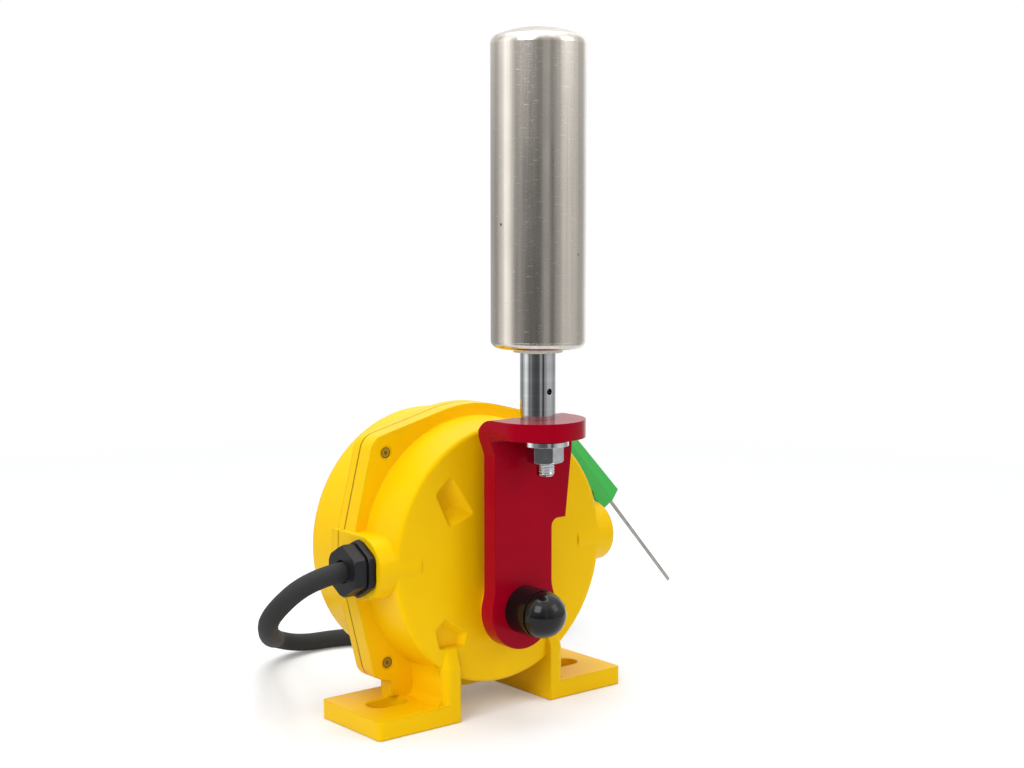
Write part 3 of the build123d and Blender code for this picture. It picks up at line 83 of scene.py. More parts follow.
class Wire:
    """A shader socket that takes part in arithmetic; each operation adds one Math node."""

    def __init__(self, bench: "NodeBench", socket: bpy.types.NodeSocket) -> None:
        """Keeps the bench that adds nodes and the socket that the value comes from."""
        self.bench = bench
        self.socket = socket

    def _math(self, operation: str, *values: Value, clamp: bool = False) -> "Wire":
        """Adds a Math node.

        Args:
            operation: Blender's name of the operation.
            *values: Its inputs, in order.
            clamp: Whether the result is held between 0 and 1.

        Returns:
            The node's result.
        """
        settings = {"operation": operation, "use_clamp": clamp}
        return self.bench.node("ShaderNodeMath", settings, dict(enumerate(values)))

    def __add__(self, other: Value) -> "Wire":
        """Sum."""
        return self._math("ADD", self, other)

    def __radd__(self, other: Value) -> "Wire":
        """Sum, reflected."""
        return self._math("ADD", other, self)

    def __sub__(self, other: Value) -> "Wire":
        """Difference."""
        return self._math("SUBTRACT", self, other)

    def __rsub__(self, other: Value) -> "Wire":
        """Difference, reflected."""
        return self._math("SUBTRACT", other, self)

    def __mul__(self, other: Value) -> "Wire":
        """Product."""
        return self._math("MULTIPLY", self, other)

    def __rmul__(self, other: Value) -> "Wire":
        """Product, reflected."""
        return self._math("MULTIPLY", other, self)

    def __truediv__(self, other: Value) -> "Wire":
        """Quotient."""
        return self._math("DIVIDE", self, other)

    def __rtruediv__(self, other: Value) -> "Wire":
        """Quotient, reflected."""
        return self._math("DIVIDE", other, self)

    def __pow__(self, other: Value) -> "Wire":
        """Power."""
        return self._math("POWER", self, other)

    def __abs__(self) -> "Wire":
        """The value without its sign."""
        return self._math("ABSOLUTE", self)

    def held(self) -> "Wire":
        """The value held between 0 and 1."""
        return self._math("ADD", self, 0.0, clamp=True)

    def angle_to(self, other: "Wire") -> "Wire":
        """Angle, in radians, whose sine goes with this value and whose cosine goes with the other."""
        return self._math("ARCTAN2", self, other)

    def above(self, low: float, high: float) -> "Wire":
        """Share, from 0 at low to 1 at high, that this value has climbed."""
        return ((self - low) / (high - low)).held()


class NodeBench:
    """Builds one node tree.

    The Mix node's sockets are known by place, because several of them share a name.
    """

    MIX_SHARE: ClassVar[int] = 0
    MIX_ENDS: ClassVar[tuple[int, int]] = (6, 7)
    MIX_RESULT: ClassVar[int] = 2

    def __init__(self, tree: bpy.types.NodeTree) -> None:
        """Empties the tree that the bench works on."""
        self.tree = tree
        tree.nodes.clear()

    def node(self, kind: str, settings: Settings, inputs: Sockets, output: int | str = 0) -> Wire:
        """Adds any node.

        Args:
            kind: The node's type name.
            settings: Attributes that are set first; "stops" fills a colour ramp.
            inputs: Value or wire for each socket, by index or name.
            output: Place or name of the output that is handed back.

        Returns:
            The chosen output.
        """
        made = self.tree.nodes.new(kind)
        for name, value in settings.items():
            if name == "stops":
                self._fill_ramp(made, value)
            else:
                setattr(made, name, value)
        for key, value in inputs.items():
            if isinstance(value, Wire):
                self.tree.links.new(value.socket, made.inputs[key])
            else:
                made.inputs[key].default_value = value
        return Wire(self, made.outputs[output] if made.outputs else None)

    @staticmethod
    def _fill_ramp(ramp: bpy.types.Node, stops: list[tuple[float, Colour]]) -> None:
        """Fills a colour ramp.

        Args:
            ramp: The ramp's node, which has two stops to begin with.
            stops: Place from 0 to 1 and colour of each stop, in order.
        """
        elements = ramp.color_ramp.elements
        while len(elements) < len(stops):
            elements.new(0.5)
        for element, (place, colour) in zip(elements, stops):
            element.position = place
            element.color = (*colour, 1.0)

    def place(self) -> Wire:
        """Object coordinates, in metres."""
        return self.node("ShaderNodeTexCoord", {}, {}, output="Object")

    def ray(self, kind: Ray) -> Wire:
        """Whether the surface is met by a ray of the given kind."""
        return self.node("ShaderNodeLightPath", {}, {}, output=kind.value)

    def part(self, vector: Wire, axis: int) -> Wire:
        """One component of a vector: 0 for x, 1 for y, 2 for z."""
        return self.node("ShaderNodeSeparateXYZ", {}, {0: vector}, output=axis)

    def stretched(self, vector: Wire, scale: Point) -> Wire:
        """A vector with its components scaled."""
        return self.node("ShaderNodeMapping", {}, {"Vector": vector, "Scale": scale})

    def noise(self, vector: Wire, scale: float, detail: float = 2.0) -> Wire:
        """Fractal noise with about scale features a metre."""
        inputs = {"Vector": vector, "Scale": scale, "Detail": detail}
        return self.node("ShaderNodeTexNoise", {}, inputs)

    def cells(self, vector: Wire, scale: float) -> Wire:
        """Distance to the nearest of scattered points, about scale of them a metre."""
        return self.node("ShaderNodeTexVoronoi", {}, {"Vector": vector, "Scale": scale})

    def blend(self, share: Value, first: Wire | Colour, second: Wire | Colour) -> Wire:
        """Mix of two colours.

        Args:
            share: 0 for the first colour, 1 for the second.
            first: Colour or wire.
            second: Colour or wire.

        Returns:
            The mixed colour.
        """
        ends = [c if isinstance(c, Wire) else (*c, 1.0) for c in (first, second)]
        inputs = {self.MIX_SHARE: share, **dict(zip(self.MIX_ENDS, ends))}
        return self.node("ShaderNodeMix", {"data_type": "RGBA"}, inputs, output=self.MIX_RESULT)

    def relief(self, height: Wire, depth: float, strength: float, edge: float) -> Wire:
        """Normal of a bumped surface with softened edges.

        Args:
            height: Height pattern from 0 to 1.
            depth: Height of the relief, in metres.
            strength: Share of the relief that shows.
            edge: Radius of the softened edges, in metres.

        Returns:
            The normal.
        """
        soft = self.node("ShaderNodeBevel", {"samples": 6}, {"Radius": edge})
        inputs = {"Normal": soft, "Height": height, "Distance": depth, "Strength": strength}
        return self.node("ShaderNodeBump", {}, inputs)

    def finish_with(self, shader: Wire, kind: str = "ShaderNodeOutputMaterial") -> None:
        """Links the shader to the tree's output."""
        self.node(kind, {}, {0: shader})


@dataclass(frozen=True)
class Finish:
    """A surface finish; each kind builds its own material."""

    name: str
    colour: Colour
    roughness: float

    def shader(self, bench: NodeBench) -> Wire:
        """The finish's shader; each kind gives its own."""
        raise NotImplementedError

    def material(self) -> bpy.types.Material:
        """Makes the finish's material, or finds it again.

        Returns:
            The material, which all pieces of this finish share.
        """
        found = bpy.data.materials.get(self.name)
        if found is None:
            found = bpy.data.materials.new(self.name)
            found.use_nodes = True
            bench = NodeBench(found.node_tree)
            bench.finish_with(self.shader(bench))
            found.diffuse_color = (*self.colour, 1.0)
        return found

    @staticmethod
    def surface(bench: NodeBench, inputs: Sockets) -> Wire:
        """Principled surface with the given socket values and links."""
        return bench.node("ShaderNodeBsdfPrincipled", {}, inputs)


@dataclass(frozen=True)
class CastPaint(Finish):
    """Enamel on a casting: a fine peel, slow waves of the casting below, and faint dirt in patches.

    Scales count features a metre. The shares say how much of the relief is waves, peel and grit.
    """

    dirt: Colour = (0.62, 0.31, 0.004)
    edge: float = 1.6 * MM
    gloss: float = 0.24
    sheen: Colour = (1.0, 0.78, 0.16)
    wave_scale: float = 30.0
    peel_scale: float = 620.0
    grit_scale: float = 1700.0
    dirt_scale: float = 14.0
    dirt_band: Band = (0.52, 0.78)
    dirt_strength: float = 0.16
    relief_shares: tuple[float, float, float] = (0.66, 0.28, 0.06)
    relief_depth: float = 0.55 * MM
    relief_strength: float = 0.42
    peel_roughness: float = 0.10
    wave_roughness: float = 0.06

    def coat(self, bench: NodeBench) -> Sockets:
        """Works out the enamel, which pieces that are only partly painted share.

        Args:
            bench: Bench of the material.

        Returns:
            The surface's sockets.
        """
        place = bench.place()
        waves = bench.noise(place, self.wave_scale, detail=3.0)
        peel = bench.noise(place, self.peel_scale, detail=1.5)
        grit = bench.noise(place, self.grit_scale, detail=1.0)
        patches = bench.noise(place, self.dirt_scale, detail=4.0).above(*self.dirt_band)
        wave_share, peel_share, grit_share = self.relief_shares
        height = waves * wave_share + peel * peel_share + grit * grit_share
        return {
            "Base Color": bench.blend(patches * self.dirt_strength, self.colour, self.dirt),
            "Roughness": self.roughness + peel * self.peel_roughness + waves * self.wave_roughness,
            "Normal": bench.relief(height, self.relief_depth, self.relief_strength, self.edge),
            "Specular IOR Level": self.gloss,
            "Specular Tint": (*self.sheen, 1.0),
        }

    def shader(self, bench: NodeBench) -> Wire:
        """Enamel over the whole piece."""
        return self.surface(bench, self.coat(bench))


@dataclass(frozen=True)
class PaintedScrew(CastPaint):
    """Steel screws whose front ends were painted over with the casting, and rubbed thin again, with
    painted shade in the gap round each end and in its socket.
    """

    steel: Colour = (0.50, 0.49, 0.46)
    worn: Colour = (0.36, 0.25, 0.03)
    # Colour of the painted shade at the rim and in the socket of each screw end.
    rim_socket_shade: Colour = (0.10, 0.055, 0.008)
    rim_socket_shade_strength: float = 0.85
    rim_band: Band = (2.3 * MM, 2.7 * MM)
    socket_band: Band = (0.8 * MM, 1.3 * MM)
    paint_band: Band = (12.0 * MM, 12.5 * MM)
    head_radius: float = 5.0 * MM

    def from_axis(self, bench: NodeBench) -> Wire:
        """Works out the distance from the axis of the nearest of the four screws.

        The screws mirror each other left to right and top to bottom, so the distances across
        and up are first taken from the middle of the pattern, without their signs.

        Args:
            bench: Bench of the material.

        Returns:
            The distance, in metres.
        """
        low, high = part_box("flange_screws")
        out = (high[0] - low[0]) / 2 - self.head_radius
        place = bench.place()
        across = abs(bench.part(place, 0)) - out
        up = abs(bench.part(place, 2) - (low[2] + high[2]) / 2) - out
        return (across * across + up * up) ** 0.5

    def shader(self, bench: NodeBench) -> Wire:
        """Paints the front ends thinly, with painted shade at the rim and in the socket, and leaves bare
        steel behind.

        Args:
            bench: Bench of the material.

        Returns:
            The shader.
        """
        coat = self.coat(bench)
        away = self.from_axis(bench)
        # Painted shade: a dark ring at the rim of each end stands for the shaded gap round it, and a dark
        # middle for its shaded socket.
        rim = away.above(*self.rim_band)
        socket = 1.0 - away.above(*self.socket_band)
        front = bench.blend((rim + socket).held() * self.rim_socket_shade_strength, self.worn, self.rim_socket_shade)
        bare = bench.part(bench.place(), 1).above(*self.paint_band)
        coat["Base Color"] = bench.blend(bare, front, self.steel)
        return self.surface(bench, coat | {"Metallic": bare})


@dataclass(frozen=True)
class PowderCoat(Finish):
    """Smooth glossy powder coat on plate, with a very fine peel and slightly deeper patches."""

    edge: float = 0.6 * MM
    gloss: float = 0.13
    sheen: Colour = (1.0, 0.25, 0.32)
    peel_scale: float = 380.0
    patch_scale: float = 22.0
    patch_tone: float = 0.78
    patch_roughness: float = 0.08
    relief_depth: float = 0.16 * MM
    relief_strength: float = 0.35

    def shader(self, bench: NodeBench) -> Wire:
        """Lays the powder coat.

        Args:
            bench: Bench of the material.

        Returns:
            The shader.
        """
        place = bench.place()
        peel = bench.noise(place, self.peel_scale)
        patches = bench.noise(place, self.patch_scale, detail=3.0)
        deeper = tuple(c * self.patch_tone for c in self.colour)
        return self.surface(bench, {
            "Base Color": bench.blend(patches, self.colour, deeper),
            "Roughness": self.roughness + patches * self.patch_roughness,
            "Normal": bench.relief(peel, self.relief_depth, self.relief_strength, self.edge),
            "Specular IOR Level": self.gloss,
            "Specular Tint": (*self.sheen, 1.0),
        })


@dataclass(frozen=True)
class WorkedMetal(Finish):
    """Bare or plated metal with marks along its grain, smudges, cross scuffs and a few small nicks.

    Scales count features a metre, nicks too. A scuffs or nicks value of 0 leaves them out.
    """

    grain: Grain = Grain.PLAIN
    mark_depth: float = 0.02 * MM
    nicks: float = 0.0
    scuffs: float = 0.0
    edge: float = 0.2 * MM
    mark_scale: float = 1500.0
    band_scale: float = 260.0
    smudge_scale: float = 34.0
    band_share: float = 0.6
    smudge_share: float = 0.5
    tone_band: Band = (0.38, 0.74)
    dark_tone: float = 0.74
    mark_roughness: float = 0.12
    smudge_roughness: float = 0.16
    relief_strength: float = 0.6
    scuff_stretch: Point = (0.35, 0.35, 2.6)
    scuff_scale: float = 560.0
    scuff_band: Band = (0.63, 0.76)
    scuff_colour: Colour = (0.80, 0.77, 0.70)
    scuff_roughness: float = 0.14
    nick_band: Band = (0.022, 0.040)
    nick_colour: Colour = (0.05, 0.04, 0.03)
    nick_strength: float = 0.8

    def shader(self, bench: NodeBench) -> Wire:
        """Works the metal and marks it.

        Args:
            bench: Bench of the material.

        Returns:
            The shader.
        """
        place = bench.place()
        along = bench.stretched(place, self.grain.value)
        marks = bench.noise(along, self.mark_scale, detail=3.0)
        bands = bench.noise(along, self.band_scale)
        smudge = bench.noise(place, self.smudge_scale, detail=5.0)
        darker = tuple(c * self.dark_tone for c in self.colour)
        shade = (bands * self.band_share + smudge * self.smudge_share).above(*self.tone_band)
        tone = bench.blend(shade, self.colour, darker)
        roughness = (self.roughness + (marks - 0.5) * self.mark_roughness
                     + (smudge - 0.5) * self.smudge_roughness)
        if self.scuffs > 0.0:
            across = bench.stretched(place, self.scuff_stretch)
            scuff = bench.noise(across, self.scuff_scale, detail=3.0).above(*self.scuff_band)
            tone = bench.blend(scuff * self.scuffs, tone, self.scuff_colour)
            roughness = roughness + scuff * self.scuff_roughness
        if self.nicks > 0.0:
            near = 1.0 - bench.cells(place, self.nicks).above(*self.nick_band)
            tone = bench.blend(near * self.nick_strength, tone, self.nick_colour)
        return self.surface(bench, {
            "Base Color": tone,
            "Metallic": 1.0,
            "Roughness": roughness,
            "Normal": bench.relief(marks, self.mark_depth, self.relief_strength, self.edge),
        })


@dataclass(frozen=True)
class Moulding(Finish):
    """Moulded plastic or rubber with a fine skin, paler where it is worn.

    Scales count features a metre. The worn colour is the plain one times worn_gain plus worn_lift.
    """

    skin: float = 900.0
    depth: float = 0.06 * MM
    coat: float = 0.0
    edge: float = 0.3 * MM
    gloss: float = 0.25
    sheen: Colour = (1.0, 1.0, 1.0)
    wear_scale: float = 45.0
    wear_band: Band = (0.4, 0.8)
    wear_roughness: float = 0.18
    worn_gain: float = 1.35
    worn_lift: float = 0.004
    relief_strength: float = 0.5

    def shader(self, bench: NodeBench) -> Wire:
        """Moulds the surface.

        Args:
            bench: Bench of the material.

        Returns:
            The shader.
        """
        place = bench.place()
        grain = bench.noise(place, self.skin)
        wear = bench.noise(place, self.wear_scale, detail=4.0)
        paler = tuple(c * self.worn_gain + self.worn_lift for c in self.colour)
        return self.surface(bench, {
            "Base Color": bench.blend(wear.above(*self.wear_band), self.colour, paler),
            "Roughness": self.roughness + (wear - 0.5) * self.wear_roughness,
            "Normal": bench.relief(grain, self.depth, self.relief_strength, self.edge),
            "Specular IOR Level": self.gloss,
            "Specular Tint": (*self.sheen, 1.0),
            "Coat Weight": self.coat,
        })


YELLOW: Colour = (0.97, 0.59, 0.001)
ENAMEL = CastPaint("yellow_enamel", YELLOW, 0.30)
SCREW = PaintedScrew("painted_screw", YELLOW, 0.42)
RED = PowderCoat("red_powder_coat", (0.395, 0.001, 0.014), 0.18)
STAINLESS = WorkedMetal("drawn_stainless", (0.66, 0.61, 0.545), 0.23, Grain.UPRIGHT, mark_depth=0.035 * MM,
                        nicks=38.0, scuffs=0.22)
CHROME = WorkedMetal("bright_plating", (0.52, 0.535, 0.545), 0.07, Grain.TURNED, mark_depth=0.008 * MM)
PLATED = WorkedMetal("bright_zinc", (0.62, 0.64, 0.66), 0.17)
BLADE = WorkedMetal("blade_steel", (0.38, 0.37, 0.34), 0.16, mark_depth=0.008 * MM)
ZINC = WorkedMetal("zinc_plating", (0.58, 0.58, 0.56), 0.32)
BRONZE = WorkedMetal("sintered_bronze", (0.55, 0.32, 0.12), 0.42)
BRASS = WorkedMetal("plain_brass", (0.74, 0.53, 0.20), 0.30)
BLACK = Moulding("black_nylon", (0.006, 0.006, 0.008), 0.38, gloss=0.22)
VINYL = Moulding("black_vinyl", (0.005, 0.005, 0.006), 0.22, skin=500.0, depth=0.03 * MM, coat=0.25,
                 gloss=0.15)
RUBBER = Moulding("black_rubber", (0.018, 0.018, 0.018), 0.62)
SHEATH = Moulding("cable_sheath", (0.010, 0.010, 0.011), 0.30, skin=420.0, depth=0.04 * MM, gloss=0.45)
GASKET = Moulding("painted_gasket", (0.30, 0.17, 0.006), 0.60, gloss=0.1)
IVORY = Moulding("ivory_plastic", (0.72, 0.68, 0.56), 0.42)
GREEN = Moulding("green_plastic", (0.010, 0.52, 0.014), 0.30, skin=600.0, depth=0.02 * MM, edge=0.5 * MM,
                 gloss=0.12, sheen=(0.25, 1.0, 0.30))

NODE_FINISHES: dict[Finish, tuple[str, ...]] = {
    ENAMEL: ("front_housing", "rear_housing", "blanking_plug"),
    SCREW: ("flange_screws",),
    RED: ("lever_plate",),
    STAINLESS: ("roller_shell", "roller_bottom_cap"),
    CHROME: ("roller_axle",),
    BLADE: ("tool_blade",),
    PLATED: ("axle_washer", "axle_nut"),
    ZINC: ("switch_bracket", "bracket_screws", "switch_screws", "terminal_screws", "return_spring",
           "tool_clip", "clip_screw", "main_shaft", "shaft_collar", "cam_screws", "shaft_washer",
           "shaft_nut", "axle_circlip", "roller_upper_hub"),
    BRONZE: ("front_bush", "rear_bush"),
    BRASS: ("switch_terminals", "earth_screw"),
    BLACK: ("alarm_switch", "stop_switch", "alarm_cam", "stop_cam", "gland_body", "gland_nut"),
    VINYL: ("dome_cap",),
    RUBBER: ("shaft_seal", "gland_seal"),
    GASKET: ("housing_gasket",),
    SHEATH: ("cable", "cable_coil"),
    IVORY: ("terminal_block", "roller_lower_bush", "roller_upper_bush", "alarm_plunger", "stop_plunger"),
    GREEN: ("tool_grip",),
}


class PieceShop:
    """Makes finished pieces of the part."""

    @staticmethod
    def dress(piece: bpy.types.Object, finish: Finish) -> None:
        """Gives every material slot of a piece the same finish.

        Args:
            piece: The piece, with or without slots.
            finish: Its finish.
        """
        material = finish.material()
        if not piece.material_slots:
            piece.data.materials.append(material)
        for place in piece.material_slots:
            place.material = material

    @staticmethod
    def skin(name: str, points: np.ndarray, finish: Finish) -> bpy.types.Object:
        """Makes a closed round piece from rings of points.

        Each ring is a row of the array and runs round the piece. Quads join each ring to the
        next. The first and last ring are closed by a fan of triangles to their middle point.

        Args:
            name: The piece's name.
            points: Ring points, as rows by columns by three, in metres.
            finish: Its finish.

        Returns:
            The piece.
        """
        rows, columns = points.shape[:2]
        index = np.arange(rows * columns).reshape(rows, columns)
        here, there = index[:-1], index[1:]
        quads = np.stack([here, np.roll(here, -1, 1), np.roll(there, -1, 1), there], axis=-1)
        middles = points[[0, -1]].mean(axis=1)
        vertices = np.concatenate([points.reshape(-1, 3), middles])
        first, last = index[0], index[-1]
        low = np.stack([np.roll(first, -1), first, np.full(columns, rows * columns)], axis=-1)
        high = np.stack([last, np.roll(last, -1), np.full(columns, rows * columns + 1)], axis=-1)
        faces = quads.reshape(-1, 4).tolist() + low.tolist() + high.tolist()
        mesh = bpy.data.meshes.new(name)
        mesh.from_pydata(vertices.tolist(), [], faces)
        mesh.polygons.foreach_set("use_smooth", np.ones(len(faces), dtype=bool))
        piece = bpy.data.objects.new(name, mesh)
        bpy.context.scene.collection.objects.link(piece)
        PieceShop.dress(piece, finish)
        return piece

    @staticmethod
    def mount(piece: bpy.types.Object, body: Body, slot: str) -> None:
        """Lets a piece ride on its body and reports it.

        Args:
            piece: The piece.
            body: The body that it moves with.
            slot: Name of its material in the record; it is not used.
        """
        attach(piece, body.value)
        LOG.info("%s rides on %s", piece.name, body.value)


@dataclass
class Hardware:
    """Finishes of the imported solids."""

    finishes: dict[Finish, tuple[str, ...]] = field(default_factory=lambda: NODE_FINISHES)

    def dress(self) -> None:
        """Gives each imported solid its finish."""
        for finish, names in self.finishes.items():
            for name in names:
                PieceShop.dress(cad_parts[name], finish)
            LOG.info("%s on %d solids", finish.name, len(names))


@dataclass
class SupplyCable:
    """Free cable from the gland to a coil behind the switch.

    The route and the coil's sizes are in millimetres, angles in degrees. A turn lies level and
    climbs to the next over its last part, rise_share; layer_pitch is the climb in diameters, a
    hair more than one so that the turns don't cut into each other.
    """

    diameter: float = 10.7 * MM
    coil_centre: tuple[float, float] = (96.0, 141.0)
    coil_radius: float = 61.0
    coil_turns: int = 3
    points_per_turn: int = 16
    arrival_angle: float = 213.44
    rise_share: float = 0.3
    layer_pitch: float = 1.004
    steps_along: int = 12
    steps_round: int = 8

    ROUTE: ClassVar[list[Point]] = [
        (-87.6, -7.5, 88.5), (-113.2, -8.2, 88.4), (-130.4, 7.1, 67.6),
        (-119.7, 26.0, 51.4), (-86.7, 70.9, 35.1), (-53.3, 136.5, 16.9),
        (-24.1, 148.3, 5.35), (5.8, 145.4, 5.35), (29.7, 130.8, 5.35),
    ]

    def coil_points(self) -> np.ndarray:
        """Works out the control points of the coil's turns, in millimetres.

        They stand evenly on a circle. The quadratic curve cuts inside them: its radius is theirs
        times the sum of 3/4 and a quarter of the cosine of the angle between two points, so
        theirs is the coil's radius over that sum. The height stays at a turn's level, then climbs
        to the next by c times c times (3 less 2 c), where c runs from 0 to 1 over the last part
        of the turn.

        Returns:
            One row for each point.
        """
        step = 2 * math.pi / self.points_per_turn
        count = self.coil_turns * self.points_per_turn
        turn = np.arange(count) / self.points_per_turn
        angle = math.radians(self.arrival_angle) + turn * 2 * math.pi
        radius = self.coil_radius / (0.75 + 0.25 * math.cos(step))
        whole = np.floor(turn)
        climb = np.clip((turn - whole - (1 - self.rise_share)) / self.rise_share, 0, 1)
        climb = climb * climb * (3 - 2 * climb)
        last = self.coil_turns - 1
        level = np.minimum(whole + climb, last)
        height = self.diameter / MM * (0.5 + self.layer_pitch * level)
        x = self.coil_centre[0] + radius * np.cos(angle)
        y = self.coil_centre[1] + radius * np.sin(angle)
        return np.stack([x, y, height], axis=-1)

    def build(self) -> bpy.types.Object:
        """Returns:
            The cable.
        """
        points = np.concatenate([np.array(self.ROUTE), self.coil_points()]) * MM
        line = bpy.data.curves.new("supply_cable", "CURVE")
        line.dimensions = "3D"
        spline = line.splines.new("NURBS")
        spline.points.add(len(points) - 1)
        spline.points.foreach_set("co", np.c_[points, np.ones(len(points))].ravel())
        spline.order_u = 3
        spline.use_endpoint_u = True
        line.resolution_u = self.steps_along
        line.bevel_depth = self.diameter / 2
        line.bevel_resolution = self.steps_round
        line.use_fill_caps = True
        piece = bpy.data.objects.new("supply_cable", line)
        bpy.context.scene.collection.objects.link(piece)
        PieceShop.dress(piece, SHEATH)
        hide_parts("cable", "cable_coil")
        PieceShop.mount(piece, Body.BASE, "cable_sheath")
        return piece


@dataclass
class StudThread:
    """Thread on the end of the roller axle's eccentric stud, below its nut; sizes in millimetres.

    It starts below the stud's end by drop and narrower by taper, and runs into the nut by overlap.
    """

    root: float = 4.46
    crest: float = 4.95
    pitch: float = 1.5
    lead_in: float = 1.2
    taper: float = 0.9
    drop: float = 0.02
    overlap: float = 0.3
    columns: int = 72
    rings: int = 90

    def build(self) -> bpy.types.Object:
        """Makes the thread.

        The radius at angle a and height z is the root plus a share of the thread's depth. The
        share is a triangle wave of z over the pitch less a over a full turn. Over the lead-in at
        the low end it fades to nothing, and the root narrows by the taper.

        Returns:
            The thread.
        """
        nut_low, nut_high = (np.array(corner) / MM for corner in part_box("axle_nut"))
        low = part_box("roller_axle")[0][2] / MM - self.drop
        high = nut_low[2] + self.overlap
        centre = (nut_low + nut_high) / 2
        angle = np.linspace(0, 2 * math.pi, self.columns, endpoint=False)[None, :]
        height = np.linspace(low, high, self.rings)[:, None]
        phase = (height / self.pitch - angle / (2 * math.pi)) % 1.0
        wave = 1 - np.abs(2 * phase - 1)
        fade = np.clip((height - low) / self.lead_in, 0, 1)
        radius = self.root - self.taper * (1 - fade) + (self.crest - self.root) * wave * fade
        x = centre[0] + radius * np.cos(angle)
        y = centre[1] + radius * np.sin(angle)
        z = np.broadcast_to(height, x.shape)
        piece = PieceShop.skin("stud_thread", np.stack([x, y, z], axis=-1) * MM, CHROME)
        PieceShop.mount(piece, Body.LEVER, "bright_steel")
        return piece


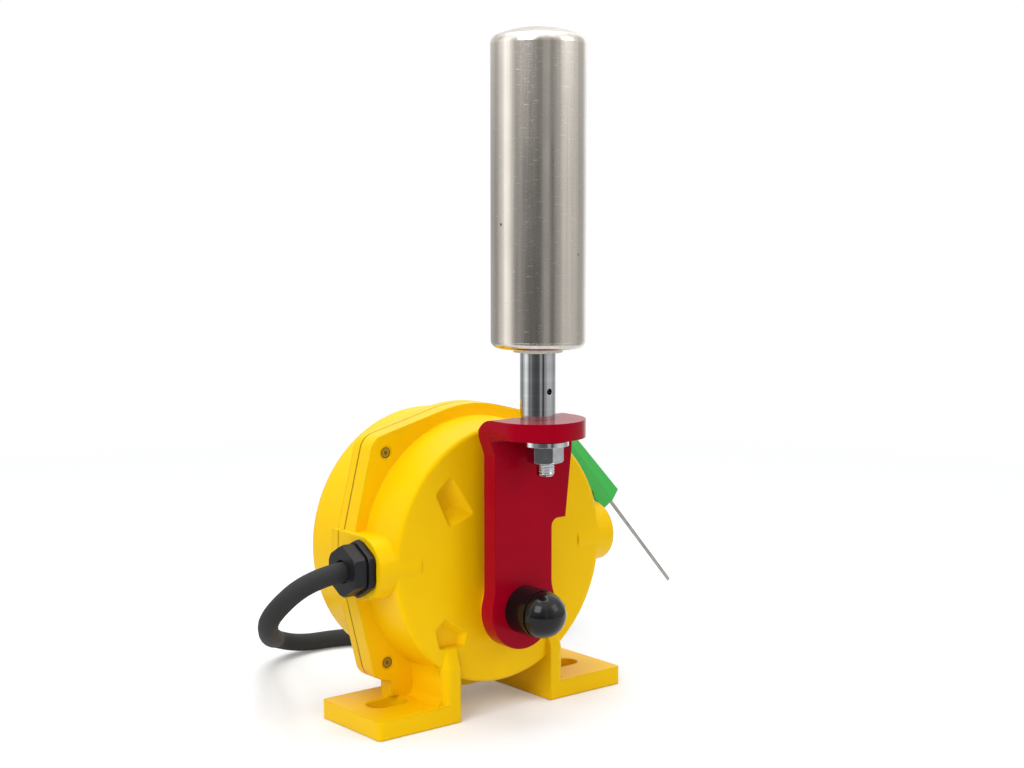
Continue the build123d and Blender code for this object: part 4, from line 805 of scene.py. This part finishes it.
@dataclass
class Studio:
    """Pale floor, soft lamps, a bright surround and the camera.

    Lengths are in metres and the camera's turn in degrees. A lamp is its name, place, side and
    power. The floor turns white over white_band and lets reflections past over mirror_band, both
    counted from its middle. The other bands are heights of a direction, its z.
    """

    camera_place: Point = (-0.5814, -0.7442, 0.2870)
    camera_turn: Point = (83.51, 0.0, -39.23)
    camera_range: Band = (0.01, 50.0)
    lens: float = 60.34
    aim: Point = (0.0, 0.0, 0.15)
    ambient: float = 0.46
    overhead_band: Band = (0.45, 0.8)
    overhead_level: float = 1.7
    skyline_band: Band = (0.02, 0.12)
    skyline_level: float = 0.35
    floor_radius: float = 1.15
    floor_sides: int = 96
    floor_height: float = -0.3 * MM
    floor_colour: Colour = (0.82, 0.835, 0.86)
    floor_glow: float = 0.17
    white_band: Band = (0.45, 1.08)
    mirror_band: Band = (0.30, 0.50)
    lamps: tuple[tuple[str, Point, float, float], ...] = (
        ("key_lamp", (-1.3, -0.5, 1.1), 0.9, 13.0),
        ("fill_lamp", (0.9, -1.3, 1.0), 0.9, 5.8),
        ("top_lamp", (0.1, 0.2, 1.6), 1.2, 15.0),
    )

    SURROUND: ClassVar[tuple[tuple[float, float], ...]] = (
        (0.00, 0.60), (0.14, 0.50), (0.18, 0.34), (0.20, 0.85), (0.24, 1.10), (0.26, 1.65), (0.30, 1.20),
        (0.32, 0.60), (0.345, 0.26), (0.375, 0.42), (0.40, 0.18), (0.46, 0.11), (0.52, 0.13), (0.54, 0.50),
        (0.57, 0.50), (0.58, 0.07), (0.60, 0.07), (0.62, 0.45), (0.655, 0.58), (0.675, 0.88), (0.69, 0.78),
        (0.72, 0.84), (0.757, 0.80), (0.80, 0.62), (0.84, 0.46), (0.88, 0.62), (0.93, 1.30), (0.97, 0.90),
        (1.00, 0.60),
    )

    def camera(self) -> None:
        """Makes the camera that the part is seen through."""
        data = bpy.data.cameras.new("view")
        data.lens = self.lens
        data.clip_start, data.clip_end = self.camera_range
        eye = bpy.data.objects.new("view", data)
        eye.location = self.camera_place
        eye.rotation_euler = [math.radians(a) for a in self.camera_turn]
        bpy.context.scene.collection.objects.link(eye)
        bpy.context.scene.camera = eye

    def light(self) -> None:
        """Makes soft square lamps that face the part's middle."""
        for name, place, size, power in self.lamps:
            data = bpy.data.lights.new(name, "AREA")
            data.size = size
            data.energy = power
            lamp = bpy.data.objects.new(name, data)
            lamp.location = place
            lamp.rotation_euler = (Vector(self.aim) - Vector(place)).to_track_quat("-Z", "Y").to_euler()
            bpy.context.scene.collection.objects.link(lamp)

    def surround(self) -> None:
        """Makes the world: white behind the part, and panels all round for the metal to show.

        The panels are greys, on a ramp over the compass angle of a direction. It grows from 0
        straight ahead of the camera, round its left, to 0.5 straight behind it, and on round its
        right to 1. Above the skyline all is a little brighter, and overhead it is plain white.
        """
        world = bpy.data.worlds.new("surround")
        bpy.context.scene.world = world
        world.use_nodes = True
        bench = NodeBench(world.node_tree)
        heading = math.radians(self.camera_turn[2])
        way = bench.node("ShaderNodeTexCoord", {}, {}, output="Generated")
        x, y, z = (bench.part(way, axis) for axis in range(3))
        across = x * math.cos(heading) + y * math.sin(heading)
        toward = x * math.sin(heading) - y * math.cos(heading)
        angle = across.angle_to(toward) / (2 * math.pi) + 0.5
        stops = [(place, (level,) * 3) for place, level in self.SURROUND]
        panels = bench.node("ShaderNodeValToRGB", {"stops": stops}, {0: angle})
        overhead = z.above(*self.overhead_band)
        skyline = z.above(*self.skyline_band) * self.skyline_level
        studio = (panels + skyline) * (1.0 - overhead) + overhead * self.overhead_level
        camera_ray, mirror_ray = bench.ray(Ray.CAMERA), bench.ray(Ray.MIRROR)
        seen = mirror_ray * studio + (1.0 - mirror_ray) * self.ambient
        strength = camera_ray + (1.0 - camera_ray) * seen
        inputs = {"Color": (1.0, 1.0, 1.0, 1.0), "Strength": strength}
        backdrop = bench.node("ShaderNodeBackground", {}, inputs)
        bench.finish_with(backdrop, "ShaderNodeOutputWorld")

    def floor(self) -> None:
        """Makes a pale round floor that keeps shadows near the part and turns plain white far out.

        Its rim is a circle: the radius times the cosine and the sine of evenly spaced angles.
        """
        edge = np.linspace(0, 2 * math.pi, self.floor_sides, endpoint=False)
        x, y = np.cos(edge) * self.floor_radius, np.sin(edge) * self.floor_radius
        rim = np.stack([x, y, np.full_like(edge, self.floor_height)], axis=-1)
        mesh = bpy.data.meshes.new("floor")
        mesh.from_pydata(rim.tolist(), [], [list(range(len(rim)))])
        piece = bpy.data.objects.new("floor", mesh)
        bpy.context.scene.collection.objects.link(piece)
        piece.data.materials.append(self.paper())

    def paper(self) -> bpy.types.Material:
        """Makes the floor's material.

        Returns:
            The material.
        """
        paper = bpy.data.materials.new("pale_paper")
        paper.use_nodes = True
        bench = NodeBench(paper.node_tree)
        inputs = {0: bench.place()}
        reach = bench.node("ShaderNodeVectorMath", {"operation": "LENGTH"}, inputs, output="Value")
        mirrored = bench.ray(Ray.MIRROR)
        shown = (bench.ray(Ray.CAMERA) + mirrored).held()
        matt = bench.node("ShaderNodeBsdfDiffuse", {}, {"Color": (*self.floor_colour, 1.0)})
        glow = bench.node("ShaderNodeEmission", {}, {"Strength": shown * self.floor_glow})
        near = bench.node("ShaderNodeAddShader", {}, {0: matt, 1: glow})
        white = bench.node("ShaderNodeEmission", {}, {"Strength": shown})
        far = reach.above(*self.white_band)
        solid = bench.node("ShaderNodeMixShader", {}, {0: far, 1: near, 2: white})
        clear = bench.node("ShaderNodeBsdfTransparent", {}, {})
        past = mirrored * reach.above(*self.mirror_band)
        bench.finish_with(bench.node("ShaderNodeMixShader", {}, {0: past, 1: solid, 2: clear}))
        return paper

    def build(self) -> None:
        """Makes the whole studio."""
        bpy.context.scene.view_settings.view_transform = "Standard"
        self.camera()
        self.light()
        self.surround()
        self.floor()
        LOG.info("studio is set up")


def main() -> None:
    """Builds the studio and the cable first, then dresses the solids and adds the thread."""
    logging.basicConfig(level=logging.INFO, format="%(name)s: %(message)s")
    Studio().build()
    SupplyCable().build()
    Hardware().dress()
    StudThread().build()


if __name__ == "__main__":
    main()
